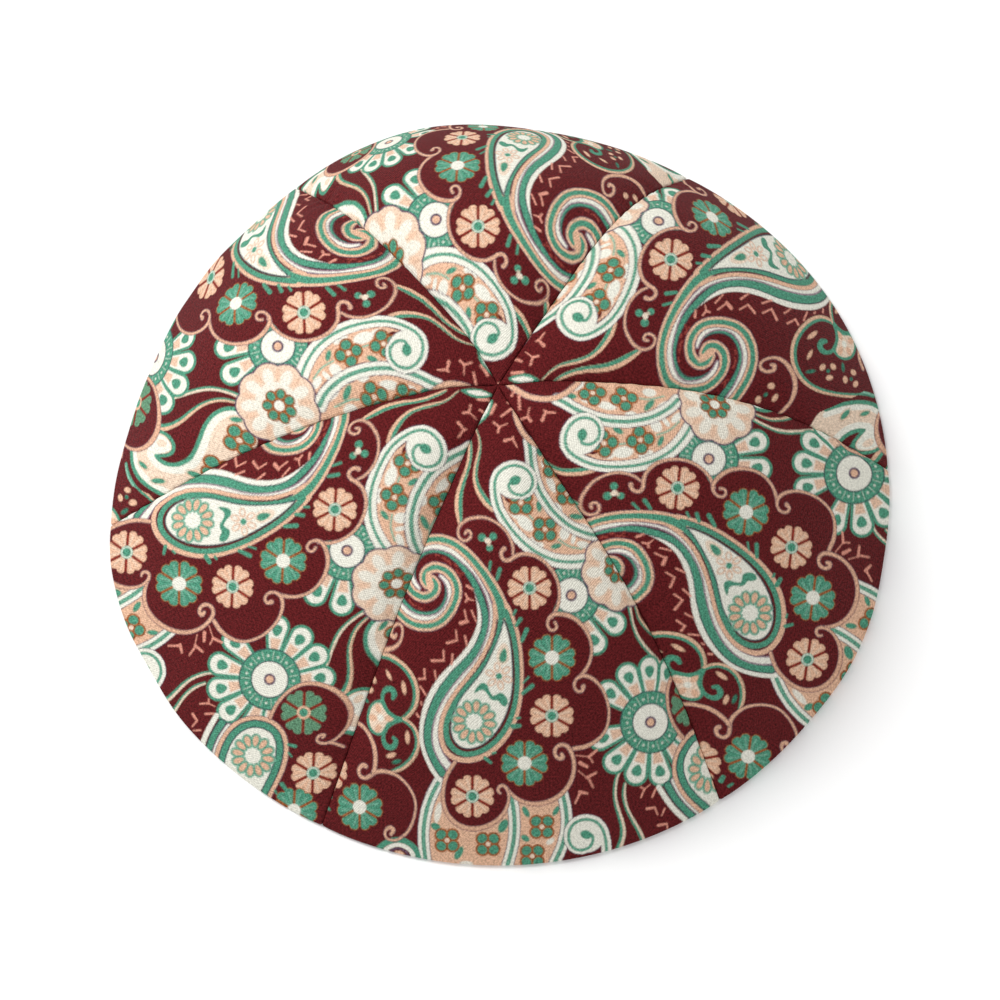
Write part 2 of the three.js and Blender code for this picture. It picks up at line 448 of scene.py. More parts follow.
def smooth(points, closed=False):
    """A smooth curve through charted points; every column is carried along."""
    rows = np.array(points, float)
    if closed:
        rows = np.concatenate([rows[-1:], rows, rows[:2]])
    else:
        rows = np.concatenate([2 * rows[:1] - rows[1:2], rows, 2 * rows[-1:] - rows[-2:-1]])
    share = np.arange(CURVE_STEPS)[:, None] / CURVE_STEPS
    parts = []
    for a, b, c, d in zip(rows, rows[1:], rows[2:], rows[3:]):
        bend = (2 * a - 5 * b + 4 * c - d) * share**2 + (3 * b - 3 * c + d - a) * share**3
        parts.append(b + ((c - a) * share + bend) / 2)
    parts.append(rows[-2:-1])
    return np.concatenate(parts)


def beside(points, shift):
    """A curve moved sideways, to its left where shift is above zero, by a share of its width."""
    heading = np.gradient(points[:, :2], axis=0)
    heading /= np.linalg.norm(heading, axis=1, keepdims=True) + TINY
    moved = points.copy()
    moved[:, 0] += heading[:, 1] * shift * points[:, 2]
    moved[:, 1] -= heading[:, 0] * shift * points[:, 2]
    return moved


def moved_by(points, aside, along):
    """Charted points moved as they are."""
    return [(x + aside, y + along) for x, y in points]


def turned(points, centre):
    """A chart turned half round about a centre."""
    rows = np.array(points, float)
    rows[:, 0] = 2 * centre[0] - rows[:, 0]
    rows[:, 1] = 2 * centre[1] - rows[:, 1]
    return rows


def spread(x, y, radius, angle):
    """The place at a distance and an angle in degrees from a point."""
    return x + radius * np.cos(np.radians(angle)), y + radius * np.sin(np.radians(angle))


def from_step(x, y, first, second):
    """How far places are from a straight step, and the share of it where they are nearest."""
    step = second[:2] - first[:2]
    aside = x - first[0]
    along = y - first[1]
    share = np.clip((aside * step[0] + along * step[1]) / (step @ step + TINY), 0, 1)
    return np.hypot(aside - share * step[0], along - share * step[1]), share


class Print:
    """The dye's colour at every place of the cloth."""

    def __init__(self, x, y):
        self.x = x
        self.y = y
        self.colour = np.tile(GROUND, (len(x), 1))

    def near(self, low, high, reach):
        """The places inside a box, and a little round it."""
        inside = (self.x > low[0] - reach) & (self.x < high[0] + reach)
        inside &= (self.y > low[1] - reach) & (self.y < high[1] + reach)
        return np.flatnonzero(inside)

    def dye(self, at, inside, colour, strength=1.0):
        """Lays a colour where inside, the distance in from the motif's edge, is above zero."""
        cover = strength * np.clip(0.5 + inside / EDGE_SOFTNESS, 0, 1)[:, None]
        self.colour[at] += cover * (colour - self.colour[at])

    def polar(self, x, y, reach):
        """The places round a point, and their distance and angle in degrees from it."""
        at = self.near((x, y), (x, y), reach)
        aside = self.x[at] - x
        along = self.y[at] - y
        return at, np.hypot(aside, along), np.degrees(np.arctan2(along, aside))

    def headed(self, x, y, angle, reach):
        """The places round a point, and how far each lies along a heading and to its side."""
        at = self.near((x, y), (x, y), reach)
        turn = np.radians(angle)
        aside = self.x[at] - x
        along = self.y[at] - y
        ahead = aside * np.cos(turn) + along * np.sin(turn)
        return at, ahead, along * np.cos(turn) - aside * np.sin(turn)

    def disc(self, x, y, radius, colour, strength=1.0):
        """A round spot."""
        at, away, _ = self.polar(x, y, radius + MARGIN)
        self.dye(at, radius - away, colour, strength)

    def curve(self, line, colour, widen=0.0, strength=1.0):
        """A stroke along a dense curve whose third column is its width."""
        for start in range(0, len(line) - 1, CURVE_CHUNK):
            part = line[start : start + CURVE_CHUNK + 1]
            reach = part[:, 2].max() / 2 + widen + MARGIN
            at = self.near(part[:, :2].min(0), part[:, :2].max(0), reach)
            if not len(at):
                continue
            inside = np.full(len(at), -FAR)
            for first, second in zip(part, part[1:]):
                away, share = from_step(self.x[at], self.y[at], first, second)
                width = first[2] + share * (second[2] - first[2])
                inside = np.maximum(inside, width / 2 + widen - away)
            self.dye(at, inside, colour, strength)

    def stroke(self, points, colour, width=None, edge=None, edge_width=0.2, strength=1.0):
        """A stroke through charted points, of one width or with the width as a third column."""
        rows = np.array(points, float)
        if width is not None:
            rows = np.column_stack([rows[:, :2], np.full(len(rows), width)])
        line = smooth(rows)
        if edge is not None:
            self.curve(line, edge, widen=edge_width)
        self.curve(line, colour, strength=strength)

    def two_tone(self, points, left, right):
        """A stroke with one colour on its left half and another on its right."""
        line = smooth(points)
        self.curve(line, right)
        half = beside(line, LEFT_HALF / 2)
        half[:, 2] *= LEFT_HALF
        self.curve(half, left)

    def fill(self, points, colour):
        """A closed outline filled with one colour. Gives its places and how far in they are."""
        outline = smooth(points, closed=True)
        at = self.near(outline.min(0), outline.max(0), MARGIN)
        x = self.x[at]
        y = self.y[at]
        within = np.zeros(len(at), bool)
        nearest = np.full(len(at), FAR)
        for first, second in zip(outline, outline[1:]):
            away, _ = from_step(x, y, first, second)
            nearest = np.minimum(nearest, away)
            run, rise = second - first
            crossing = first[0] + (y - first[1]) / (rise if rise else TINY) * run
            within ^= ((first[1] > y) != (second[1] > y)) & (x < crossing)
        inside = np.where(within, nearest, -nearest)
        self.dye(at, inside, colour)
        return at, inside

    def petal(self, x, y, length, width, angle, colour, taper=0.0, strength=1.0):
        """An oval, or with taper a drop whose point is behind its heading."""
        at, ahead, aside = self.headed(x, y, angle, length / 2 + MARGIN)
        ahead = ahead / (length / 2)
        aside = aside / (width / 2) / np.clip(1 + taper * ahead, 0.15, 2)
        inside = (1 - np.hypot(ahead, aside)) * min(length, width) / 2
        self.dye(at, inside, colour, strength)


# The print: its motifs

# Heart-shaped petals round an eye. The eye's rows give a share of the radius, a dye and its strength.
FLOWER_KINDS = {
    "peach": {
        "radius": 4.6, "petal": PEACH, "vein": PALE_PEACH, "gap": RUST, "gap_width": 0.62, "edge": None,
        "eye": [(0.3, PALE_GREEN, 1.0), (0.19, GREEN, 1.0), (0.27, CREAM, 0.6), (0.2, GREEN, 1.0)],
    },
    "green": {
        "radius": 4.9, "petal": GREEN, "vein": PALE_GREEN, "gap": BROWN, "gap_width": 0.5, "edge": BROWN,
        "eye": [(0.3, CREAM, 1.0)],
    },
    "moss": {
        "radius": 4.8, "petal": MOSS, "vein": None, "gap": RUST, "gap_width": 0.62, "edge": None,
        "eye": [(0.3, PEACH, 1.0), (0.19, GREEN, 1.0)],
    },
}
NOTCH_DEPTH = 0.1  # of a heart-shaped petal, as a share of the flower's radius
NOTCH_WIDTH = 0.17  # as a share of half a petal's width
CORNER_DEPTH = 0.2
VEIN_WIDTH = 0.44


def notched_flower(cloth, x, y, kind, petals=6, turn=-30.0):
    """Heart-shaped petals with gaps between them, round an eye."""
    flower = FLOWER_KINDS[kind]
    radius = flower["radius"]
    at, away, angle = cloth.polar(x, y, radius + 1)
    if not len(at):
        return
    sector = (angle - turn) * petals / 360
    share = 2 * (sector - np.floor(sector)) - 1
    corner = np.maximum(0, np.abs(share) - 0.5) / 0.5
    notch = NOTCH_DEPTH * np.exp(-((share / NOTCH_WIDTH) ** 2))
    edge = radius * (1 - notch - CORNER_DEPTH * corner**2.4)
    if flower["edge"] is not None:
        cloth.dye(at, edge + 0.2 - away, flower["edge"])
    cloth.dye(at, edge - away, flower["petal"])
    if flower["vein"] is not None:
        from_vein = np.abs(np.abs(share) - 0.42) * away / 2
        vein = np.minimum(VEIN_WIDTH / 2 - from_vein, edge - 0.7 - away)
        cloth.dye(at, vein, flower["vein"], 0.55)
    from_gap = (1 - np.abs(share)) * np.radians(180 / petals) * away
    cloth.dye(at, np.minimum(flower["gap_width"] / 2 - from_gap, edge + 0.15 - away), flower["gap"])
    for size, colour, strength in flower["eye"]:
        cloth.dye(at, size * radius - away, colour, strength)


def ring_of_petals(cloth, x, y, radius, petals, turn, length, width, colour, **look):
    """Equal petals round a point, each heading away from it."""
    for number in range(petals):
        angle = turn + 360 * number / petals
        cloth.petal(*spread(x, y, radius, angle), length, width, angle, colour, **look)


def four_petals(cloth, x, y, radius=2.7):
    """Four green petals with a brown edge, on the leaves' filling."""
    ring_of_petals(cloth, x, y, radius * 0.62, 4, 45, radius * 1.08, radius * 1.12, BROWN)
    ring_of_petals(cloth, x, y, radius * 0.65, 4, 45, radius * 0.74, radius * 0.8, GREEN)
    cloth.disc(x, y, radius * 0.3, BROWN)
    cloth.disc(x, y, radius * 0.19, PALE_PEACH)


def rosette(cloth, x, y, radius=4.9, petals=12, turn=8):
    """Peach petals, each with a green outline, round a white disc."""
    size = (radius * 0.68, radius * 0.44)
    ring_of_petals(cloth, x, y, radius * 0.66, petals, turn, *size, PALE_GREEN, taper=0.25)
    size = (radius * 0.62, radius * 0.38)
    ring_of_petals(cloth, x, y, radius * 0.67, petals, turn, *size, GREEN, taper=0.25, strength=0.6)
    size = (radius * 0.46, radius * 0.24)
    ring_of_petals(cloth, x, y, radius * 0.67, petals, turn, *size, PEACH, taper=0.2)
    cloth.disc(x, y, radius * 0.33, CREAM)


def cream_flower(cloth, x, y, radius=7.6, scallop=0.75, scallops=9):
    """A scalloped blossom with mottled petals and a green flower in its middle."""
    at, away, angle = cloth.polar(x, y, radius + 2.4)
    if not len(at):
        return
    edge = radius + scallop * np.abs(np.sin(np.radians(angle * scallops / 2 + 12)))
    cloth.dye(at, edge + 0.36 - away, PLUM)
    cloth.dye(at, edge - away, PALE_PEACH)
    cloth.dye(at, edge - away, PEACH, 0.3)
    ring_of_petals(cloth, x, y, 5.6, scallops, 18, 3.6, 2.3, CREAM, strength=0.85)
    ring_of_petals(cloth, x, y, 6.1, scallops, -2, 2.4, 1.1, PEACH, strength=0.55)
    cloth.disc(x, y, 4.4, CREAM, 0.8)
    small_flower(cloth, x + 0.1, y - 0.6)


def small_flower(cloth, x, y, radius=2.3, petals=7, turn=-92):
    """Green petals with brown edges, round a white eye."""
    ring_of_petals(cloth, x, y, radius, petals, turn, 2.5, 2.5, BROWN)
    cloth.disc(x, y, 1.9, BROWN)
    ring_of_petals(cloth, x, y, radius * 1.04, petals, turn, 1.9, 1.6, GREEN)
    cloth.disc(x, y, 1.05, CREAM)


def daisy_petal(cloth, x, y, angle, start=6.2, reach=13.9, width=5.3):
    """One long petal: green edge, white, a peach foot and a green eye."""
    at, ahead, aside = cloth.headed(x, y, angle, reach + 1)
    aside = np.abs(aside)
    round_end = reach - width / 2
    length_share = np.clip((ahead - start) / (round_end - start), 0, 1)
    half = np.where(ahead < round_end, width / 2 * (0.62 + 0.38 * length_share), width / 2)
    beyond = width / 2 - np.hypot(ahead - round_end, aside)
    inside = np.where(ahead > round_end, beyond, half - aside)
    inside = np.where(ahead < start - 1, -FAR, inside)
    cloth.dye(at, inside, GREEN)
    cloth.dye(at, inside - 0.62, CREAM)
    foot = start + (reach - start) * 0.34
    cloth.dye(at, np.minimum(inside - 1.0, (foot - ahead) * 0.6), PEACH, 0.85)
    eye = spread(x, y, start + (reach - start) * 0.56, angle)
    cloth.petal(*eye, 2.5, 2.1, angle, GREEN, taper=0.35)


def daisy(cloth, x, y, petals, ring, disc, beads=15):
    """Long petals round a beaded green ring and a white disc."""
    for angle in petals:
        daisy_petal(cloth, x, y, angle)
    at, away, angle = cloth.polar(x, y, ring + 1)
    cloth.dye(at, ring + 0.22 - away, SLATE)
    cloth.dye(at, ring - away, GREEN)
    between = 360 / beads
    spoke = np.abs((angle / between + 0.5) % 1 - 0.5) * np.radians(between) * away
    cloth.dye(at, np.minimum(0.1 - spoke, 0.9 - np.abs(away - ring + 1.3)), CREAM, 0.45)
    for bead in range(beads):
        cloth.disc(*spread(x, y, ring - 1.35, between * (bead + 0.5)), 0.28, CREAM, 0.7)
    cloth.disc(x, y, disc + 0.25, SLATE)
    cloth.disc(x, y, disc, CREAM)
    cloth.disc(x, y, 1.25, PLUM)
    cloth.disc(x, y, 0.8, PEACH)


def trefoil(cloth, x, y):
    """Three green spots round a white eye."""
    for aside, along, radius in ((-1.25, -0.7, 0.85), (1.1, -0.95, 0.8), (0.35, 1.45, 0.72)):
        cloth.disc(x + aside, y + along, radius, GREEN)
    cloth.disc(x, y, 0.6, CREAM)
    cloth.petal(x - 0.1, y - 0.1, 1.5, 0.9, 200, PALE_PEACH, strength=0.7)
    cloth.petal(x + 0.2, y + 0.5, 1.3, 0.8, 80, PALE_PEACH, strength=0.7)


def three_buds(cloth, x, y, buds):
    """Three peach buds round a dark one."""
    cloth.disc(x, y, 0.42, DEEP_GREEN)
    for aside, along in buds:
        angle = np.degrees(np.arctan2(along, aside)) + 90
        cloth.petal(x + aside, y + along, 1.5, 1.15, angle, PEACH)


# The print: its chart, in millimetres from the crown, y towards the rim

# Middles of the flowers, by kind.
FLOWERS = {
    "peach": [(6.8, 42.5), (11.5, 69.4), (-5.2, 86.6), (54.5, 72.3), (-36.8, 82.4)],
    "green": [(11.5, 57.1), (5.8, 79.5), (-29.2, 89.3), (59.8, 79.6)],
    "moss": [(42.0, 68.0)],
}
UPPER_LEAF_FLOWERS = [(5.0, 24.7), (10.1, 30.3), (12.5, 16.4), (15.4, 22.4)]
LOWER_LEAF_FLOWERS = [(9.5, 93.2), (7.5, 99.7), (-10.6, 96.2), (-1.9, 97.0)]
ROSETTES = [(-4.8, 70.7), (45.4, 81.9)]
CREAM_FLOWER = (26.4, 39.3)
DROP_FLOWER = (0.4, 61.0)
TREFOIL = (-1.9, 32.7)

# The daisies' middles, and the angles of the petals that show.
BIG_DAISY = (32.5, 71.1)
BIG_DAISY_PETALS = (-90, -116, -65, -144, 163, 133, 106, 79, 50, 25, -40, -15)
SMALL_DAISY = (15.6, 44.1)
SMALL_DAISY_PETALS = (33, 63, 92)

# The curls' heads: x, y and radius. Their eyes: x, y, length, width and angle.
CURL_HEAD = (3.7, 19.9, 4.15)
CURL_EYE = (3.8, 20.0, 2.6, 2.0, 150)
LOWER_CURL_HEAD = (19.0, 95.1, 4.0)
LOWER_CURL_EYE = (18.9, 95.0, 2.5, 1.9, 20)

# The print repeats aside, a little higher each time, and as a mirrored copy further down.
REPEAT_LEFT = -35.2
REPEAT_RIGHT = 56.1
REPEAT_LOW_LEFT = -42.0  # further down, the flowers at both ends are charted whole
REPEAT_LOW_RIGHT = 65.0
REPEAT_STEP = 67.0
REPEAT_ASIDE = 90.4
REPEAT_RISE = 8.95
GLIDE_FROM = 101.5
GLIDE_LEFT = 4.0
GLIDE_MIRROR = 22.6
GLIDE_DOWN = 76.5

# Ovals on the leaves: x, y, length, width, angle.
LEAF_MOTTLES = [
    (5.9, 29.0, 3.4, 1.9, 45), (14.5, 31.1, 1.8, 2.4, 20), (16.4, 32.4, 0.8, 2.2, 15),
    (11.8, 20.4, 3.2, 1.4, 65), (20.2, 26.0, 2.4, 1.8, 50), (3.4, 26.6, 2.6, 1.3, 60),
    (8.4, 33.0, 2.6, 1.2, 35), (18.6, 33.6, 2.4, 1.2, 10), (10.4, 16.0, 2.0, 1.3, 80),
    (13.2, 25.6, 2.0, 1.3, 60), (19.4, 30.0, 3.0, 1.1, 25), (12.2, 13.2, 2.6, 1.0, 10),
]
LEAF_BUDS = [
    (9.2, 13.3, 2.0, 1.2, 60), (8.9, 25.4, 2.4, 1.2, 85), (17.4, 27.5, 3.4, 1.3, 5),
    (12.5, 33.8, 2.4, 1.1, -12), (19.6, 19.6, 2.4, 1.2, 60), (6.4, 26.3, 1.6, 1.1, 20),
]
LEAF_STEMS = [
    [(17.2, 24.6), (18.6, 26.8), (21.2, 28.9)],
    [(13.0, 32.4), (15.4, 33.9), (18.2, 34.5)],
    [(6.6, 27.2), (8.0, 28.6), (9.0, 29.2)],
]

# The ground inside the scalloped lines, which hides the leaves and daisies there.
LOOP_GROUNDS = [
    [(1.6, 35.0), (3.4, 36.2), (6.4, 35.5), (10.0, 37.2), (12.5, 40.6), (13.0, 44.0), (11.8, 47.8),
     (14.6, 48.2), (17.8, 50.4), (19.6, 54.0), (19.4, 58.0), (17.6, 61.0), (20.8, 62.2), (23.0, 65.8),
     (23.5, 70.2), (21.9, 73.9), (17.4, 76.3), (10.0, 76.0),
     (4.0, 60.0), (3.0, 50.0), (0.0, 42.0), (-2.0, 37.0)],
    [(2.3, 85.5), (2.2, 88.6), (0.4, 91.4), (-2.6, 93.2), (-6.0, 93.6), (-9.4, 91.8), (-11.3, 88.0),
     (-11.2, 83.6), (-9.0, 79.6), (-5.0, 80.0), (0.5, 80.0)],
    [(14.8, 76.3), (16.1, 79.4), (15.8, 82.8), (13.2, 86.3), (9.0, 88.1), (5.0, 87.4), (2.4, 85.2),
     (1.0, 79.0), (8.0, 74.0)],
    [(49.8, 63.4), (50.2, 66.4), (48.6, 71.0), (44.0, 74.0), (39.6, 74.6), (37.2, 70.8), (36.4, 67.0),
     (37.2, 63.6), (39.6, 60.8), (43.4, 59.2), (47.4, 60.2)],
]

# Where the two hooks of the paisleys turn round each other.
HOOK_CENTRE = (-14.4, 41.6)

# The paisley's arm, from the hook's middle to the drop: x, y and the green band's width.
ARM = [
    (-13.7, 40.9, 0.5), (-13.1, 41.8, 0.8), (-13.0, 42.9, 1.0), (-13.8, 44.1, 1.0), (-15.2, 44.75, 1.0),
    (-16.7, 44.65, 1.0), (-18.2, 44.0, 1.0), (-19.4, 42.8, 1.0), (-20.2, 41.2, 1.0), (-20.35, 39.4, 1.0),
    (-19.8, 37.4, 1.0), (-18.8, 35.5, 1.0), (-17.3, 33.8, 1.0), (-15.5, 32.8, 1.0), (-13.5, 32.45, 1.0),
    (-11.5, 32.6, 1.0), (-9.5, 33.25, 1.0), (-7.6, 34.4, 1.0), (-5.8, 35.95, 1.05), (-4.2, 37.7, 1.1),
    (-2.7, 39.6, 1.15), (-1.3, 41.7, 1.25), (-0.1, 43.9, 1.4), (0.7, 46.0, 1.6), (1.1, 48.2, 1.4),
]
# The drop's green border, from the arm down its left side and back up its right side.
DROP_BORDER = [
    (0.6, 46.5, 1.1), (0.75, 49.0, 1.0), (0.45, 51.5, 1.05), (-0.3, 54.0, 1.1), (-1.5, 56.7, 1.1),
    (-3.1, 59.2, 1.1), (-4.8, 61.4, 1.1), (-6.6, 63.6, 1.15), (-8.3, 65.9, 1.2), (-9.6, 68.2, 1.2),
    (-10.5, 70.6, 1.2), (-10.7, 72.9, 1.2), (-10.1, 75.2, 1.2), (-8.7, 76.8, 1.15), (-6.7, 77.6, 1.15),
    (-4.5, 77.35, 1.1), (-2.2, 76.3, 1.1), (0.0, 74.5, 1.1), (1.8, 72.1, 1.1), (3.0, 69.5, 1.1),
    (3.75, 66.8, 1.05), (4.15, 64.0, 1.05), (4.25, 61.0, 1.0), (4.15, 58.0, 1.0), (3.85, 55.0, 1.0),
    (3.35, 52.3, 1.05), (2.6, 49.8, 1.1), (1.7, 47.4, 1.3),
]
# The drop's white field inside that border.
DROP_FIELD = [
    (1.4, 48.7), (2.2, 50.8), (2.8, 53.2), (3.2, 56.0), (3.4, 59.5), (3.4, 62.5), (3.1, 65.3), (2.3, 68.4),
    (1.0, 71.3), (-0.8, 73.8), (-2.9, 75.6), (-5.2, 76.5), (-7.2, 76.4), (-8.8, 75.3), (-9.7, 73.4),
    (-9.8, 71.2), (-9.0, 68.2), (-7.5, 65.3), (-5.6, 62.9), (-3.7, 60.5), (-2.0, 57.7), (-0.6, 54.8),
    (0.5, 52.0), (1.1, 49.8),
]
# The peach line outside the border: down the left side, round the drop's foot and up to the arm.
DROP_PEACH = [
    (-0.6, 46.0, 0.6), (-0.45, 48.5, 0.65), (-0.75, 51.0, 0.7), (-1.5, 53.6, 0.75), (-2.8, 56.3, 0.75),
    (-4.4, 58.9, 0.75), (-6.2, 61.3, 0.75), (-8.1, 63.7, 0.75), (-9.9, 66.4, 0.8), (-11.2, 69.2, 0.85),
    (-11.8, 72.0, 0.9), (-11.7, 74.5, 0.9), (-10.8, 76.9, 0.95), (-9.0, 78.4, 1.0), (-6.8, 78.9, 1.0),
    (-4.3, 78.6, 1.0), (-1.9, 77.5, 0.95), (0.4, 75.6, 0.9), (2.4, 73.1, 0.85), (3.8, 70.2, 0.8),
    (4.6, 67.2, 0.75), (5.05, 64.0, 0.7), (5.2, 60.5, 0.65), (5.05, 57.0, 0.6), (4.7, 54.0, 0.6),
    (4.1, 51.2, 0.6), (3.2, 48.4, 0.6), (2.1, 45.9, 0.6),
]
# The two leaves in the drop.
DROP_LEAF_LEFT = [
    (-4.8, 64.5), (-4.1, 63.2), (-3.1, 62.4), (-2.1, 62.8), (-1.6, 64.0), (-1.0, 65.2), (-1.7, 65.2),
    (-2.4, 64.3), (-3.1, 63.9), (-3.9, 64.2),
]
DROP_LEAF_RIGHT = [
    (-1.7, 65.4), (-0.4, 65.0), (0.7, 64.5), (1.7, 65.1), (2.3, 66.3), (1.8, 67.4), (0.9, 67.0),
    (0.2, 66.2), (-0.8, 66.1),
]
# The bands that run along the arm's inner side and down the drop's left side.
THIN_WHITE = [
    (-16.8, 43.0, 0.4), (-17.9, 42.1, 0.7), (-18.7, 40.8, 0.8), (-18.9, 39.2, 0.7), (-18.6, 37.5, 0.7),
    (-17.7, 35.8, 0.8), (-16.3, 34.6, 0.9), (-14.7, 34.05, 0.95), (-13.0, 33.95, 1.0), (-11.3, 34.2, 1.0),
    (-9.8, 34.8, 0.95), (-8.3, 35.8, 0.85), (-6.9, 37.0, 0.7), (-5.7, 38.2, 0.5), (-4.4, 39.8, 0.3),
    (-3.2, 41.7, 0.3), (-2.2, 43.7, 0.35), (-1.5, 45.7, 0.4), (-1.15, 47.7, 0.45), (-1.2, 49.7, 0.45),
    (-1.6, 51.8, 0.45), (-2.3, 54.0, 0.45), (-3.5, 56.5, 0.45), (-5.0, 58.8, 0.6), (-6.6, 60.7, 0.75),
    (-8.2, 62.7, 0.85), (-9.8, 64.9, 0.9), (-11.2, 67.3, 0.95), (-12.3, 69.9, 1.0), (-12.9, 72.5, 1.0),
    (-12.9, 75.0, 1.1), (-12.2, 77.3, 1.2), (-11.2, 79.0, 1.3), (-10.2, 80.3, 1.3),
]
MAIN_GREEN = [
    (-17.4, 42.7, 0.3), (-18.0, 41.2, 0.35), (-18.15, 39.4, 0.4), (-17.7, 37.6, 0.45), (-16.6, 36.1, 0.5),
    (-15.0, 35.25, 0.5), (-13.2, 35.0, 0.55), (-11.3, 35.3, 0.6), (-9.6, 36.15, 0.65), (-8.0, 37.4, 0.8),
    (-6.6, 38.9, 0.95), (-5.4, 40.5, 1.05), (-4.4, 42.3, 1.1), (-3.6, 44.2, 1.15), (-2.9, 46.2, 1.15),
    (-2.45, 48.2, 1.15), (-2.45, 50.2, 1.2), (-2.9, 52.2, 1.3), (-3.7, 54.3, 1.4), (-5.0, 56.5, 1.55),
    (-6.6, 58.5, 1.75), (-8.3, 60.3, 1.9), (-9.9, 62.2, 1.9), (-11.5, 64.4, 1.85), (-12.9, 67.0, 1.7),
    (-13.9, 69.6, 1.55), (-14.5, 72.2, 1.5), (-14.5, 74.8, 1.45), (-13.9, 77.2, 1.4), (-12.8, 79.6, 1.4),
    (-11.5, 81.7, 1.4),
]
OUTER_WHITE = [
    (-5.7, 40.4, 0.15), (-4.8, 42.3, 0.4), (-4.1, 44.5, 0.7), (-3.7, 46.8, 0.8), (-3.6, 48.8, 0.85),
    (-3.8, 50.6, 0.95), (-4.4, 52.5, 1.1), (-5.4, 54.5, 1.25), (-6.8, 56.5, 1.3), (-8.5, 58.4, 1.35),
    (-10.3, 60.2, 1.4), (-12.0, 62.2, 1.4), (-13.5, 64.5, 1.3), (-14.7, 67.0, 1.2), (-15.5, 69.6, 1.0),
    (-15.9, 72.2, 0.9), (-15.9, 74.6, 0.85), (-15.4, 77.0, 0.85), (-14.5, 79.3, 0.9), (-13.2, 81.6, 0.95),
    (-12.0, 83.2, 0.9),
]

# The leaf that ends in a curl: its green line, from the curl's eye outwards.
CURL = [
    (3.4, 20.3), (2.5, 20.9), (2.75, 22.0), (3.6, 22.8), (5.0, 23.1), (6.3, 22.6), (7.2, 21.6), (7.6, 20.3),
    (7.35, 18.9), (6.5, 17.7), (5.0, 16.95), (3.4, 16.8), (1.8, 17.25), (0.5, 18.2), (-0.25, 19.5),
    (-0.5, 21.0), (-0.4, 22.8), (-0.1, 24.5), (0.5, 26.3), (1.5, 28.1), (2.75, 29.9), (4.2, 31.6),
    (5.9, 33.3), (7.9, 34.8), (9.9, 35.9), (12.0, 36.7), (14.2, 37.1), (16.5, 37.2), (19.2, 37.0),
]
CURL_WIDTHS = {"point": [0, 4, 10, 14, 18, 22, 28], "width": [0.9, 1.6, 2.1, 2.0, 2.1, 2.5, 2.9]}
LOWER_CURL = [
    (19.2, 94.9), (20.2, 95.2), (20.3, 96.6), (19.6, 97.8), (18.2, 98.4), (16.7, 98.2), (15.6, 97.1),
    (15.2, 95.6), (15.4, 94.0), (16.3, 92.6), (17.8, 91.8), (19.5, 91.7), (21.1, 92.3), (22.3, 93.7),
    (22.9, 95.4), (23.2, 97.2), (23.3, 99.2), (23.1, 101.6), (22.4, 104.2),
]
LEAF_BAND = [
    (6.9, 11.2), (7.2, 13.0), (7.3, 14.8), (7.5, 16.4), (7.8, 18.0), (8.3, 20.0), (9.1, 22.0), (10.2, 23.9),
    (11.7, 26.0), (13.4, 27.7), (15.4, 29.3), (17.7, 30.5), (20.0, 31.3), (22.5, 31.7),
]
LEAF_LOW_FIELD = [
    (0.6, 20.5), (2.0, 24.5), (5.0, 24.6), (8.0, 22.5),
    (10.0, 25.6), (13.0, 29.0), (17.0, 31.9), (20.5, 33.0),
    (19.5, 36.0), (14.0, 35.8), (9.0, 34.0), (5.0, 31.0), (2.0, 27.0),
]
LEAF_TOP_FIELD = [
    (8.2, 12.2), (8.6, 17.0), (9.6, 20.4), (11.4, 23.8),
    (14.2, 27.0), (18.2, 29.6), (23.0, 30.8), (27.0, 31.0),
    (24.0, 24.0), (18.0, 16.0), (12.5, 12.0),
]
TOP_PEACH = [
    (4.0, 0.5), (3.9, 2.2), (3.9, 4.0), (4.1, 5.8), (4.7, 7.6),
    (5.6, 9.3), (6.9, 10.7), (8.4, 11.6), (10.2, 12.2),
    (12.2, 12.5), (14.5, 12.3),
]

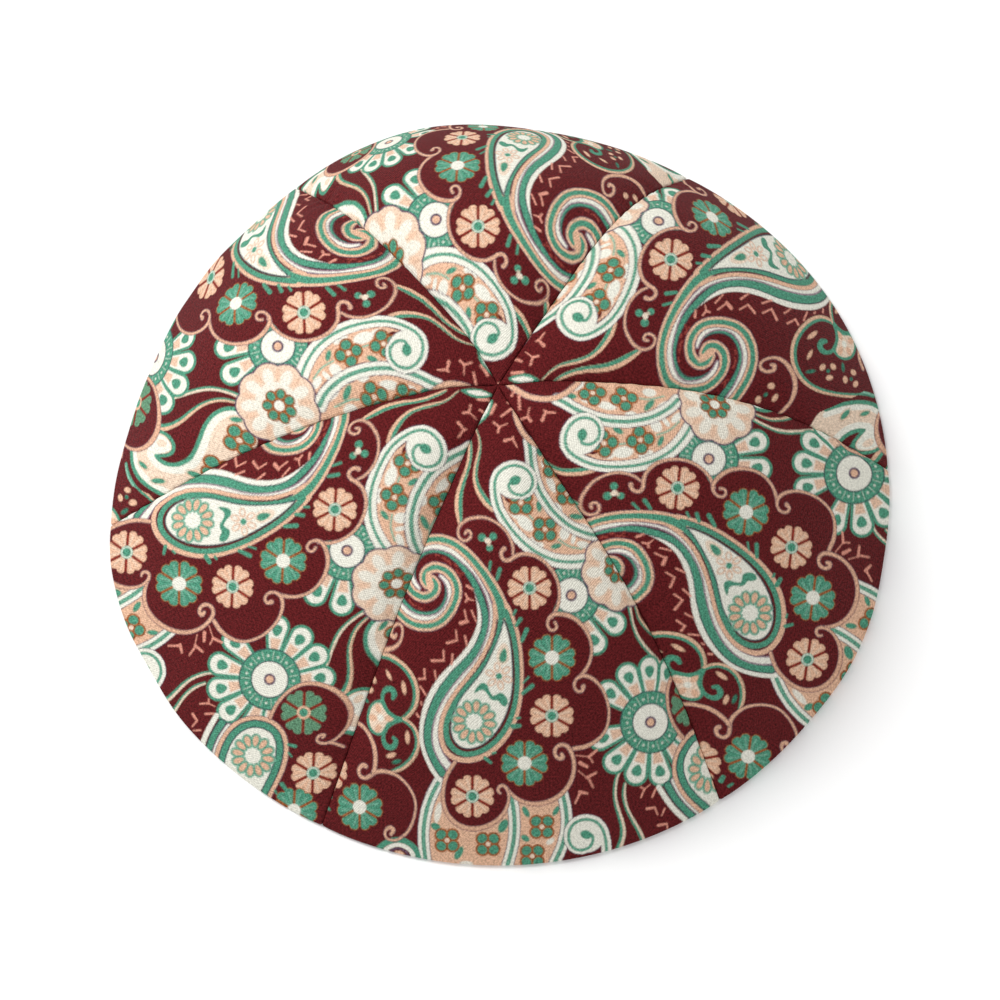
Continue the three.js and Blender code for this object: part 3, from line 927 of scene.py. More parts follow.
# Two-tone tendrils: x, y, width; the left colour first.
TENDRILS = [
    {"left": GREEN, "right": PEACH, "points": [
        (-5.9, 10.6, 0.6), (-5.85, 12.5, 0.9), (-6.0, 15.0, 1.0), (-6.6, 17.4, 1.1), (-7.4, 19.7, 1.3),
        (-8.1, 22.0, 1.5), (-8.35, 24.4, 1.7), (-8.2, 26.8, 1.5), (-7.9, 29.0, 0.9)]},
    {"left": GREEN, "right": PEACH, "points": [
        (-4.6, 8.2, 0.3), (-3.9, 10.4, 0.45), (-3.7, 12.4, 0.6), (-4.0, 14.4, 0.8), (-4.5, 16.6, 0.9),
        (-4.7, 18.9, 1.0), (-4.3, 21.0, 1.2), (-3.4, 22.9, 1.4), (-2.2, 24.6, 1.5), (-0.8, 26.0, 1.3)]},
    {"left": PALE_PEACH, "right": GREEN, "points": [
        (28.6, 47.0, 0.9), (28.8, 49.0, 0.8), (29.3, 51.2, 0.8), (30.1, 53.3, 0.9), (31.4, 55.2, 0.9),
        (32.9, 56.9, 0.9), (34.4, 58.4, 0.8), (35.2, 59.3, 0.7)]},
    {"left": PEACH, "right": GREEN, "points": [
        (30.0, 46.8, 0.6), (30.5, 48.7, 0.7), (31.3, 50.4, 0.8), (32.6, 52.0, 0.8), (34.2, 53.3, 0.9),
        (36.2, 54.4, 1.0), (38.2, 55.3, 1.1), (40.0, 56.4, 1.2), (41.4, 57.7, 1.4), (42.3, 59.2, 1.5)]},
    {"left": PALE_PEACH, "right": GREEN, "points": [
        (26.0, 81.2, 0.6), (25.3, 82.6, 0.7), (24.95, 84.5, 0.8), (24.9, 86.6, 0.8), (25.3, 88.8, 0.9),
        (26.0, 91.0, 1.0), (26.6, 93.2, 1.1), (26.7, 95.2, 1.2), (26.2, 97.2, 1.2), (25.4, 99.0, 1.2)]},
    {"left": PALE_PEACH, "right": GREEN, "points": [
        (27.0, 84.0, 0.6), (26.8, 86.0, 0.8), (27.1, 88.1, 0.8), (27.9, 90.3, 0.8), (29.1, 92.5, 0.9),
        (30.2, 94.5, 1.0), (31.0, 96.4, 1.0), (31.4, 98.5, 1.0)]},
    {"left": PEACH, "right": GREEN, "points": [
        (-37.6, 71.2, 0.9), (-36.0, 69.2, 0.9), (-34.9, 67.0, 0.9), (-33.8, 64.8, 0.9), (-32.5, 62.7, 0.9),
        (-31.0, 60.8, 1.0), (-29.3, 59.3, 1.0), (-27.4, 58.3, 1.1), (-25.2, 57.8, 1.2), (-23.0, 57.9, 1.3),
        (-20.9, 58.7, 1.3), (-19.2, 60.0, 1.3), (-17.9, 61.8, 1.3), (-17.2, 63.8, 1.3), (-17.1, 65.8, 1.3),
        (-17.6, 67.7, 1.2), (-18.6, 69.2, 1.1), (-19.8, 70.2, 0.9)]},
    {"left": PEACH, "right": GREEN, "points": [
        (-20.0, 70.4, 0.9), (-18.6, 71.2, 1.0), (-17.5, 72.4, 1.0), (-16.9, 74.0, 1.0), (-16.8, 75.6, 1.0),
        (-17.2, 77.2, 1.1), (-18.1, 78.8, 1.1),
        (-19.4, 80.1, 1.1), (-20.9, 81.0, 1.0), (-22.6, 81.5, 0.4)]},
    {"left": PALE_GREEN, "right": GREEN, "points": [
        (57.6, 54.6, 0.8), (56.6, 56.8, 0.8), (55.6, 59.0, 0.8), (54.4, 61.0, 0.8), (53.0, 62.6, 0.7)]},
]

# The scalloped peach lines, each with a curled end: x, y, width.
SCALLOPS = [
    [(-6.8, 31.2, 0.5), (-6.2, 30.5, 0.5), (-5.5, 31.2, 0.5), (-5.9, 32.3, 0.5), (-7.0, 32.7, 0.5),
     (-8.1, 31.9, 0.5), (-8.3, 30.4, 0.5), (-7.6, 29.1, 0.55), (-6.3, 28.2, 0.6), (-4.6, 27.8, 0.6),
     (-2.7, 27.8, 0.55), (-1.0, 28.4, 0.5), (0.6, 29.4, 0.5), (1.9, 30.7, 0.5), (2.8, 32.3, 0.5),
     (3.3, 33.9, 0.5), (3.35, 35.4, 0.5)],
    [(1.5, 34.3, 0.9), (0.95, 34.9, 0.7), (0.95, 35.9, 0.65), (1.6, 36.7, 0.7), (2.7, 36.6, 0.75),
     (3.8, 35.9, 0.75), (5.2, 35.4, 0.7), (6.9, 35.5, 0.7), (8.6, 36.1, 0.65), (10.2, 37.3, 0.6),
     (11.5, 38.8, 0.6), (12.5, 40.6, 0.55), (13.0, 42.7, 0.55), (13.0, 44.8, 0.55), (12.5, 46.8, 0.6),
     (11.4, 48.6, 0.7)],
    [(12.1, 49.7, 0.6), (12.5, 50.5, 0.45), (12.0, 51.3, 0.5), (11.1, 51.2, 0.5), (10.6, 50.3, 0.5),
     (10.7, 49.2, 0.55), (11.5, 48.2, 0.7), (13.0, 47.95, 0.8), (14.9, 48.3, 0.8), (16.6, 49.2, 0.75),
     (18.1, 50.7, 0.7), (19.2, 52.5, 0.6), (19.8, 54.5, 0.55), (19.8, 56.6, 0.55), (19.2, 58.6, 0.6),
     (18.2, 60.2, 0.7), (17.2, 61.3, 0.7)],
    [(18.1, 63.2, 0.9), (17.9, 64.1, 0.6), (17.1, 64.3, 0.55), (16.4, 63.7, 0.5), (16.2, 62.6, 0.5),
     (16.8, 61.5, 0.55), (17.9, 61.0, 0.65), (19.3, 61.2, 0.7), (20.8, 62.2, 0.6), (22.1, 63.8, 0.55),
     (23.0, 65.8, 0.5), (23.5, 68.0, 0.5), (23.5, 70.2, 0.5), (23.0, 72.2, 0.5), (21.9, 73.9, 0.6),
     (20.3, 75.2, 0.75), (18.3, 76.1, 0.85), (16.2, 76.4, 0.85)],
    [(13.6, 77.6, 0.7), (13.8, 78.3, 0.9), (13.0, 78.5, 0.7), (12.3, 77.8, 0.7), (12.2, 76.7, 0.7),
     (12.9, 75.8, 0.7), (14.0, 75.6, 0.75), (15.0, 76.2, 0.8), (15.7, 77.4, 0.8), (16.15, 79.0, 0.75),
     (16.2, 80.9, 0.75), (15.8, 82.8, 0.8), (14.8, 84.7, 0.85), (13.2, 86.4, 0.9), (11.1, 87.6, 0.9),
     (8.7, 88.2, 0.9), (6.3, 88.0, 0.8), (4.3, 87.1, 0.7), (2.9, 85.9, 0.6), (2.0, 84.7, 0.5)],
    [(0.7, 85.9, 0.4), (0.25, 85.5, 0.5), (0.35, 84.7, 0.55), (1.1, 84.25, 0.6), (1.9, 84.7, 0.6),
     (2.4, 85.9, 0.5), (2.45, 87.5, 0.5), (1.9, 89.3, 0.65), (0.8, 91.0, 0.8), (-0.9, 92.4, 0.9),
     (-2.9, 93.3, 1.0), (-5.1, 93.6, 1.0), (-7.3, 93.2, 1.0), (-9.2, 92.0, 0.9), (-10.6, 90.2, 0.8),
     (-11.3, 88.0, 0.75), (-11.4, 85.7, 0.75), (-11.0, 83.3, 0.75), (-10.1, 81.2, 0.75), (-8.9, 79.4, 0.7)],
    [(48.7, 67.1, 0.4), (48.4, 66.5, 0.5), (48.0, 67.0, 0.5), (48.1, 67.9, 0.5), (48.8, 68.3, 0.5),
     (49.6, 67.8, 0.5), (50.2, 66.6, 0.5), (50.3, 65.0, 0.5), (49.8, 63.2, 0.55), (48.8, 61.4, 0.7),
     (47.2, 60.0, 0.9), (45.2, 59.3, 1.1), (43.1, 59.3, 1.1), (41.0, 60.0, 1.0), (39.1, 61.3, 0.9),
     (37.6, 63.0, 0.8), (36.6, 65.1, 0.7), (36.4, 67.4, 0.65), (36.8, 69.7, 0.6), (37.7, 71.9, 0.6),
     (38.8, 73.6, 0.65), (39.8, 74.8, 0.7)],
    [(50.2, 66.4, 0.5), (51.2, 65.5, 0.5), (52.8, 64.6, 0.5)],
    [(-27.9, 80.7, 0.9), (-28.4, 80.5, 0.8), (-29.1, 80.9, 0.75), (-29.5, 81.8, 0.7), (-29.0, 82.8, 0.7),
     (-28.0, 83.1, 0.7), (-26.9, 82.6, 0.75), (-25.8, 81.8, 0.8), (-24.4, 81.5, 0.8), (-22.8, 81.7, 0.7),
     (-21.2, 82.3, 0.6), (-19.7, 83.5, 0.5), (-18.4, 85.1, 0.45), (-17.5, 87.0, 0.45), (-17.2, 89.0, 0.45),
     (-17.5, 91.0, 0.45), (-18.1, 92.8, 0.5), (-19.1, 94.6, 0.55), (-20.4, 95.7, 0.5)],
    [(-31.4, 72.1, 0.8), (-29.6, 72.4, 0.8), (-28.1, 73.3, 0.8), (-26.9, 74.8, 0.8), (-26.1, 76.6, 0.85),
     (-25.8, 78.6, 0.85), (-25.9, 80.6, 0.85), (-26.3, 82.0, 0.7)],
    [(-22.5, 95.0, 0.7), (-22.0, 94.2, 0.8), (-22.6, 93.5, 0.8), (-23.5, 94.0, 0.6), (-23.8, 95.0, 0.5),
     (-23.4, 95.9, 0.45), (-22.4, 96.3, 0.45), (-21.2, 96.2, 0.45), (-20.2, 95.6, 0.5)],
    [(-32.4, 51.5, 0.6), (-31.6, 53.2, 0.65), (-30.4, 54.8, 0.8), (-28.6, 56.0, 0.9), (-26.5, 56.6, 0.9),
     (-24.3, 56.5, 0.9), (-22.4, 55.9, 0.8), (-21.0, 54.7, 0.6), (-20.4, 53.2, 0.5), (-20.4, 51.7, 0.5),
     (-21.2, 50.9, 0.6), (-22.2, 51.2, 0.6), (-22.9, 52.1, 0.6), (-23.0, 53.2, 0.8), (-22.3, 53.7, 0.8),
     (-21.8, 53.1, 0.5)],
]

# Short marks on the ground: x, y, x, y, width.
PINK_MARKS = [
    (-0.7, 7.2, 0.5, 8.2, 0.5), (0.5, 8.2, 0.2, 9.4, 0.55), (0.5, 8.2, 2.3, 7.4, 0.3),
    (1.6, 11.3, 3.4, 10.8, 0.65), (3.4, 10.4, 3.4, 11.1, 0.4), (3.4, 11.1, 4.3, 12.6, 0.45),
    (-0.4, 3.1, -1.3, 5.2, 0.7), (3.2, 3.9, 0.9, 5.8, 0.6), (2.3, 2.6, 3.4, 2.4, 0.5),
    (-6.3, 42.1, -5.1, 42.8, 0.55), (-6.6, 43.8, -6.1, 44.8, 0.45),
    (-6.1, 44.8, -6.6, 45.4, 0.5), (-6.1, 44.8, -4.9, 45.1, 0.35),
    (-6.8, 47.2, -6.3, 49.4, 0.4), (-7.6, 49.9, -6.2, 49.5, 0.8), (-5.3, 47.3, -4.4, 49.4, 0.4),
    (-8.6, 51.5, -8.4, 53.4, 0.4), (-10.5, 54.1, -8.4, 53.5, 0.55), (-6.7, 52.6, -6.3, 54.6, 0.45),
    (-11.2, 55.7, -11.2, 57.8, 0.45), (-13.7, 57.9, -11.2, 57.8, 0.55), (-9.3, 56.5, -9.5, 58.6, 0.45),
    (-15.3, 59.7, -15.2, 61.7, 0.45), (-16.5, 61.8, -15.2, 61.7, 0.5), (-13.1, 60.0, -12.8, 61.7, 0.4),
    (-16.1, 63.4, -15.0, 65.1, 0.45), (-16.0, 66.7, -15.9, 67.2, 0.4), (-16.9, 69.2, -16.5, 69.8, 0.5),
    (19.4, 78.2, 21.0, 76.8, 0.6), (19.4, 78.2, 20.2, 79.4, 0.4), (16.7, 77.9, 19.3, 78.2, 0.25),
    (17.5, 79.5, 19.0, 80.3, 0.8), (19.0, 82.6, 20.9, 81.6, 0.6), (19.2, 82.6, 20.3, 84.7, 0.5),
    (17.5, 85.7, 19.0, 86.0, 0.7), (17.6, 85.8, 16.5, 88.1, 0.5), (17.2, 81.2, 18.8, 82.5, 0.25),
    (30.4, 84.8, 31.3, 85.2, 0.35), (31.3, 85.2, 32.4, 84.3, 0.25), (31.2, 85.3, 30.5, 87.0, 0.45),
    (33.6, 85.4, 32.9, 87.0, 0.5), (31.8, 89.5, 33.4, 89.3, 0.6), (33.5, 89.4, 34.1, 90.8, 0.4),
    (35.6, 89.6, 35.0, 91.0, 0.4), (34.3, 93.2, 36.0, 92.9, 0.6), (36.1, 92.9, 36.3, 94.2, 0.4),
]
DIM_MARKS = [
    (-11.6, 36.4, -9.9, 37.3, 0.5), (-10.2, 37.0, -9.8, 37.9, 0.4),
    (-8.6, 38.9, -7.7, 40.1, 0.5), (-7.9, 39.6, -6.9, 39.5, 0.4),
    (-22.0, 43.4, -20.9, 43.6, 0.4), (-21.1, 43.1, -20.9, 44.2, 0.4),
    (-19.1, 45.7, -18.2, 46.6, 0.5), (-18.2, 46.5, -17.3, 46.6, 0.4),
    (-13.2, 35.8, -12.6, 35.9, 0.4), (-16.6, 47.2, -16.0, 47.3, 0.6), (-8.9, 37.7, -8.4, 38.1, 0.5),
]
GREEN_MARKS = [
    (-1.35, 37.1, -1.6, 38.8, 0.65), (0.6, 38.6, 0.0, 40.6, 0.9), (3.9, 47.2, 3.4, 48.1, 0.6),
    (4.9, 49.0, 4.0, 50.3, 0.9), (6.2, 51.2, 5.2, 53.5, 1.0), (6.6, 61.2, 5.5, 62.4, 0.5),
    (7.4, 63.0, 5.4, 64.6, 0.95), (4.2, 69.9, 4.8, 69.8, 0.6), (3.3, 71.6, 4.7, 71.5, 1.1),
    (-0.9, 77.4, -0.3, 77.2, 0.55), (-2.5, 78.4, -1.3, 79.4, 0.8), (47.6, 72.9, 46.6, 74.0, 0.8),
    (48.2, 74.8, 49.2, 74.6, 0.5), (53.6, 79.2, 55.0, 79.0, 1.0), (54.2, 81.2, 54.9, 81.2, 0.5),
    (-36.9, 88.2, -35.9, 88.0, 1.1), (-36.8, 90.0, -35.8, 90.3, 0.6),
]

# The right paisley, the right leaf, the double curl and the lower leaves are painted in steps:
# a filled outline, a stroke of one width, or petals with x, y, length, width and angle.
RIGHT_PAISLEY = [
    {"colour": CREAM, "fill": [
        (38.6, 80.5), (39.2, 77.6), (41.6, 75.2), (44.8, 74.8), (48.0, 76.4), (51.2, 80.2), (55.5, 85.6),
        (53.0, 94.0), (45.0, 91.0), (40.6, 86.8)]},
    {"colour": CREAM, "width": 1.15, "stroke": [
        (34.3, 84.9), (35.6, 87.0), (37.2, 89.2), (39.0, 91.1), (41.0, 92.8)]},
    {"colour": GREEN, "width": 1.5, "edge": SLATE, "edge_width": 0.24, "stroke": [
        (36.3, 84.6), (37.6, 86.8), (39.3, 88.9), (41.3, 90.9), (43.0, 92.4)]},
    {"colour": CREAM, "width": 0.9, "edge": PLUM, "edge_width": 0.3, "stroke": [
        (37.4, 83.6), (38.5, 85.7), (40.1, 87.9), (42.0, 89.8), (44.0, 91.4)]},
    {"colour": PEACH, "width": 0.95, "edge": PLUM, "edge_width": 0.14, "stroke": [
        (55.2, 83.6), (53.6, 81.4), (52.0, 79.2), (50.2, 77.1), (48.0, 75.3), (45.6, 74.2), (43.2, 74.0),
        (41.0, 74.8), (39.2, 76.4), (38.1, 78.4), (37.7, 80.6), (37.9, 82.8), (38.8, 85.0), (40.2, 87.1),
        (42.0, 89.0), (44.2, 90.8)]},
    {"colour": GREEN, "width": 1.2, "edge": SLATE, "edge_width": 0.26, "stroke": [
        (54.4, 84.6), (52.8, 82.4), (51.1, 80.1), (49.2, 78.0), (47.0, 76.3), (44.8, 75.35), (42.6, 75.4),
        (40.8, 76.5), (39.5, 78.2), (38.9, 80.3), (39.1, 82.4), (39.9, 84.5), (41.3, 86.5), (43.2, 88.4),
        (45.4, 90.2)]},
]
RIGHT_LEAF_LINE = [
    (31.2, 45.2), (31.7, 47.2), (33.0, 48.9), (35.0, 50.1), (37.6, 50.6), (40.4, 50.5), (43.2, 50.5),
    (45.6, 51.1), (47.4, 52.4), (48.4, 54.2), (48.4, 56.0), (47.8, 57.1)]
RIGHT_LEAF_TIP = [(48.2, 51.6), (49.4, 54.0), (49.3, 56.4), (48.2, 58.2)]
RIGHT_LEAF_EDGE = [
    (55.2, 51.5), (55.0, 53.6), (54.7, 55.6), (54.1, 57.7), (53.1, 59.7), (51.8, 61.4), (50.2, 62.7)]
RIGHT_LEAF_BUDS = [
    (33.3, 45.4, 2.6, 1.1, 68), (48.0, 49.3, 2.6, 1.2, 84), (52.6, 54.8, 2.6, 1.1, 62),
    (51.0, 58.8, 2.4, 0.95, 100)]
RIGHT_LEAF = [
    {"colour": PALE_PEACH, "fill": [
        (31.6, 45.6), (32.6, 48.0), (34.8, 49.8), (38.0, 50.4), (42.0, 50.2), (45.4, 50.8), (47.8, 52.4),
        (48.8, 54.6), (48.6, 56.8), (47.4, 57.4), (46.8, 55.8), (45.4, 54.8), (44.0, 55.6), (43.2, 57.6),
        (43.6, 60.0), (48.5, 60.6), (50.4, 62.2), (53.4, 59.6), (54.9, 55.0), (55.4, 50.5), (50.0, 46.0),
        (42.0, 42.5), (35.5, 40.5), (33.0, 43.6)]},
    {"colour": CREAM, "width": 1.5,
     "stroke": moved_by(RIGHT_LEAF_LINE[:8], 0.1, -1.1) + RIGHT_LEAF_TIP},
    {"colour": GREEN, "width": 0.85, "stroke": RIGHT_LEAF_LINE},
    {"colour": CREAM, "fill": [
        (47.0, 56.4), (45.4, 55.0), (44.1, 55.8), (43.6, 57.6), (44.2, 59.3), (47.4, 59.4), (49.0, 58.4)]},
    {"colour": PALE_PEACH, "petals": [(45.0, 57.2, 2.2, 1.6, 80)]},
    {"colour": GREEN, "width": 0.7, "stroke": [
        (47.9, 57.2), (47.3, 56.0), (46.5, 54.9), (45.4, 54.4), (44.2, 54.8), (43.3, 55.9), (42.9, 57.4),
        (43.0, 59.0)]},
    {"colour": CREAM, "width": 1.2, "stroke": moved_by(RIGHT_LEAF_EDGE, -1.0, -0.3)},
    {"colour": GREEN, "width": 0.85, "stroke": RIGHT_LEAF_EDGE},
    {"colour": PEACH, "grow": 0.8, "strength": 0.45, "petals": RIGHT_LEAF_BUDS},
    {"colour": GREEN, "petals": RIGHT_LEAF_BUDS},
]
RIGHT_LEAF_FLOWERS = [(37.0, 43.6), (45.2, 45.8)]
DOUBLE_CURL = [
    {"colour": GREEN, "fill": [
        (-24.0, 67.0), (-25.6, 66.9), (-27.2, 68.0), (-28.0, 69.8), (-27.9, 71.7), (-27.0, 73.4),
        (-25.4, 74.1), (-24.0, 73.6), (-22.6, 71.4), (-20.8, 70.4), (-22.6, 69.6)]},
    {"colour": PALE_PEACH, "fill": [
        (-24.4, 67.7), (-25.7, 67.5), (-26.9, 68.5), (-27.4, 70.0), (-27.3, 71.6), (-26.5, 73.0),
        (-25.2, 73.5), (-24.3, 73.0), (-23.2, 71.2), (-21.8, 70.4), (-23.2, 69.6)]},
    {"colour": PEACH, "petals": [
        (-25.4, 68.5, 1.9, 1.3, 60), (-26.6, 70.6, 1.9, 1.3, 5), (-25.3, 72.6, 1.9, 1.3, -60),
        (-22.9, 70.4, 1.9, 1.3, 0)]},
    {"colour": CREAM, "petals": [(-24.8, 70.4, 1.4, 1.4, 0)]},
    {"colour": GREEN, "stroke": [
        (-20.4, 70.4, 0.9), (-21.8, 69.9, 0.8), (-23.2, 68.9, 0.75), (-24.2, 67.5, 0.75),
        (-24.5, 66.0, 0.8), (-24.1, 64.9, 0.95), (-23.3, 64.3, 1.2), (-22.3, 64.4, 1.3),
        (-21.8, 65.2, 1.2), (-22.1, 66.1, 0.9)]},
    {"colour": GREEN, "stroke": [
        (-20.4, 70.6, 0.9), (-21.8, 71.1, 0.8), (-23.1, 72.1, 0.75), (-23.9, 73.4, 0.75),
        (-24.1, 74.8, 0.85), (-23.6, 76.0, 1.1), (-22.6, 76.5, 1.2), (-21.7, 76.0, 1.2),
        (-21.4, 75.0, 1.0), (-21.9, 74.4, 0.8)]},
    {"colour": PEACH, "petals": [
        (-23.2, 61.5, 2.1, 0.85, 52), (-19.7, 63.8, 2.7, 1.0, 80), (-18.9, 74.2, 2.7, 1.0, 88),
        (-22.4, 78.1, 2.1, 1.05, -18)]},
    {"colour": DEEP_GREEN, "petals": [
        (-21.2, 79.4, 2.1, 0.95, -16), (-28.6, 67.3, 1.9, 0.85, 22), (-26.5, 60.3, 2.1, 0.8, 105)]},
]
THREE_BUDS = {
    (-27.9, 63.8): ((-1.4, -0.3), (1.2, -0.8), (0.4, 1.4)),
    (-31.6, 68.0): ((0.5, -1.4), (-1.4, 0.5), (0.9, 1.2)),
    (-27.1, 50.5): ((-0.3, -1.5), (-1.4, 1.5), (1.2, 1.3)),
}
LOWER_LEAVES = [
    {"colour": PEACH, "fill": [
        (-12.2, 84.2), (-13.6, 88.5), (-14.6, 93.0), (-14.8, 98.0), (-14.0, 106.0), (1.6, 106.0),
        (2.8, 98.0), (3.0, 92.0), (2.8, 86.5)]},
    {"colour": PEACH, "fill": [
        (3.4, 86.0), (4.4, 92.0), (4.2, 98.0), (3.0, 106.0), (11.0, 106.0), (13.0, 99.0), (14.0, 93.0),
        (14.2, 86.0), (9.0, 84.0)]},
    {"colour": CREAM, "strength": 0.9, "petals": [
        (-12.5, 90.2, 4.5, 1.4, 100), (11.3, 96.4, 2.0, 1.2, 140), (-6.6, 101.5, 3.0, 1.5, 0)]},
    {"colour": GREEN, "petals": [
        (1.3, 93.0, 3.2, 1.8, -62), (-8.1, 99.0, 3.2, 1.5, -62), (-13.0, 93.2, 2.2, 1.5, 30),
        (6.1, 89.9, 2.6, 1.2, 62), (12.5, 89.7, 2.4, 1.1, -58), (6.0, 95.7, 2.0, 1.3, 35)]},
]
LOWER_LEAF_LINES = [
    [(-12.3, 83.6), (-13.4, 85.6), (-14.4, 88.0), (-15.1, 90.6), (-15.5, 93.3), (-15.6, 96.0),
     (-15.4, 98.8), (-15.0, 102.0)],
    [(2.7, 85.8), (3.3, 88.2), (3.65, 91.0), (3.7, 94.0), (3.4, 97.0), (2.7, 100.0), (1.8, 103.0)],
    [(13.7, 85.6), (14.3, 88.0), (14.7, 90.6), (14.7, 93.2), (14.3, 95.8), (13.5, 98.3), (12.3, 101.0),
     (10.8, 104.0)],
]
LOWER_ARCHES = [
    {"colour": GREEN, "width": 1.2, "stroke": [
        (-25.5, 98.4), (-23.6, 96.9), (-21.2, 96.2), (-18.9, 96.8), (-17.4, 98.2), (-16.6, 100.4)]},
    {"colour": CREAM, "width": 0.9, "stroke": [
        (-24.6, 99.2), (-23.0, 97.9), (-21.1, 97.3), (-19.2, 97.9), (-18.0, 99.2), (-17.6, 101.0)]},
    {"colour": PLUM, "width": 0.35, "stroke": [
        (-23.8, 99.6), (-22.4, 98.5), (-21.0, 98.1), (-19.5, 98.7), (-18.6, 100.0)]},
    {"colour": PEACH, "width": 0.6, "stroke": [
        (-23.2, 100.2), (-21.8, 99.1), (-20.4, 99.0), (-19.3, 100.2)]},
]
CROWN_TIP = [
    {"colour": GREEN, "stroke": [(-1.2, 2.2, 0.7), (-2.1, 3.9, 1.9), (-3.1, 5.6, 1.9), (-4.4, 7.4, 0.5)]},
    {"colour": CREAM, "stroke": [(-1.5, 2.6, 0.3), (-2.3, 4.0, 1.1), (-3.1, 5.4, 1.0), (-3.7, 6.4, 0.3)]},
]


# The print: painting it


def paint(cloth, steps):
    """Paints the steps of a motif in their order."""
    for step in steps:
        strength = step.get("strength", 1.0)
        if "fill" in step:
            cloth.fill(step["fill"], step["colour"])
        if "stroke" in step:
            edge_width = step.get("edge_width", 0.0)
            cloth.stroke(step["stroke"], step["colour"], step.get("width"), step.get("edge"), edge_width)
        for x, y, length, width, angle in step.get("petals", ()):
            grow = step.get("grow", 0.0)
            cloth.petal(x, y, length + grow, width + grow, angle, step["colour"], strength=strength)


def leaf_line(cloth, points, white=2.5, green=0.8):
    """A leaf's border: white with a green line in its middle and a thin plum edge."""
    cloth.stroke(points, CREAM, white, edge=PLUM, edge_width=LEAF_EDGE)
    cloth.stroke(points, GREEN, green)
    cloth.stroke(points, PALE_GREEN, green * 0.4, strength=0.5)


def curl_leaf(cloth, curl, head, eye):
    """A leaf's curled end: white round a green line that winds to an eye."""
    x, y, radius = head
    cloth.disc(x, y, radius, PLUM)
    widths = np.interp(np.arange(len(curl)), CURL_WIDTHS["point"], CURL_WIDTHS["width"])
    rows = np.column_stack([np.array(curl, float), widths])
    cloth.stroke(rows, CREAM, edge=PLUM, edge_width=LEAF_EDGE)
    cloth.disc(x, y, radius - HEAD_EDGE, CREAM)
    cloth.stroke(rows, CREAM)
    cloth.stroke(curl, GREEN, 0.62)
    cloth.stroke(curl, PALE_GREEN, 0.25, strength=0.4)
    cloth.petal(*eye, GREEN)


def hook(cloth, arm, thin_white, main_green):
    """One arm of the double hook, with the bands on its inner side."""
    cloth.stroke(main_green, GREEN, edge=SLATE, edge_width=0.2)
    cloth.stroke(thin_white, CREAM, edge=MAUVE, edge_width=0.34)
    line = smooth(arm)
    cloth.curve(line, PLUM, widen=0.7)
    cloth.curve(line, PEACH, widen=0.55)
    cloth.curve(line, GREEN)


def paisley(cloth):
    """The drop at the arm's end, and what fills it: buds, a pale flower and a rosette."""
    cloth.stroke(DROP_PEACH, PEACH, edge=PLUM, edge_width=0.12)
    cloth.stroke(DROP_PEACH, PEACH)  # again, so that it hides more of its soft edge
    arm = smooth(ARM)
    cloth.curve(arm[-ARM_END_STEPS:], PEACH, widen=0.55)
    cloth.stroke(DROP_BORDER, GREEN)
    cloth.curve(arm, GREEN)
    at, inside = cloth.fill(DROP_FIELD, SLATE)
    cloth.dye(at, inside - 0.28, CREAM)
    cloth.petal(1.3, 56.3, 4.6, 2.6, -84, PALE_PEACH, taper=-0.2, strength=0.9)
    cloth.petal(1.35, 56.6, 3.0, 1.5, -80, GREEN, taper=-0.3)
    x, y = DROP_FLOWER
    for number in range(6):
        angle = 60 * number + 20
        cloth.petal(*spread(x, y, 1.9, angle), 2.2, 1.5, angle, PEACH, strength=0.85)
        cloth.petal(*spread(x, y, 2.0, angle), 1.3, 0.8, angle, CREAM, strength=0.9)
    cloth.disc(x, y, 0.65, GREEN)
    cloth.fill(DROP_LEAF_LEFT, GREEN)
    cloth.fill(DROP_LEAF_RIGHT, GREEN)
    rosette(cloth, *ROSETTES[0])


def right_leaf(cloth):
    """The leaf on the right, with its own curl."""
    paint(cloth, RIGHT_LEAF)
    for x, y in RIGHT_LEAF_FLOWERS:
        four_petals(cloth, x, y, 2.9)


def double_curl(cloth):
    """Two green curls back to back on a peach fan."""
    paint(cloth, DOUBLE_CURL)
    for (x, y), buds in THREE_BUDS.items():
        three_buds(cloth, x, y, buds)


def lower_leaves(cloth):
    """The leaves near the rim, cut off by it."""
    paint(cloth, LOWER_LEAVES)
    for x, y in LOWER_LEAF_FLOWERS:
        four_petals(cloth, x, y)
    for line in LOWER_LEAF_LINES:
        leaf_line(cloth, line, 2.3, 0.85)
    curl_leaf(cloth, LOWER_CURL, LOWER_CURL_HEAD, LOWER_CURL_EYE)
    paint(cloth, LOWER_ARCHES)


def upper_leaf(cloth):
    """The pair of leaves below the crown, with their flowers and their curl."""
    cloth.fill(LEAF_TOP_FIELD, PEACH)
    cloth.fill(LEAF_LOW_FIELD, PEACH)
    for x, y, length, width, angle in LEAF_MOTTLES:
        cloth.petal(x, y, length * MOTTLE_GROWTH, width * MOTTLE_GROWTH, angle, CREAM)
    for bud in LEAF_BUDS:
        cloth.petal(*bud, GREEN)
    for stem in LEAF_STEMS:
        cloth.stroke(stem, PALE_GREEN, 0.35)
    for x, y in UPPER_LEAF_FLOWERS:
        four_petals(cloth, x, y)
    leaf_line(cloth, LEAF_BAND)
    curl_leaf(cloth, CURL, CURL_HEAD, CURL_EYE)
    cloth.stroke(TOP_PEACH, PEACH, 1.1, edge=PLUM, edge_width=0.14)


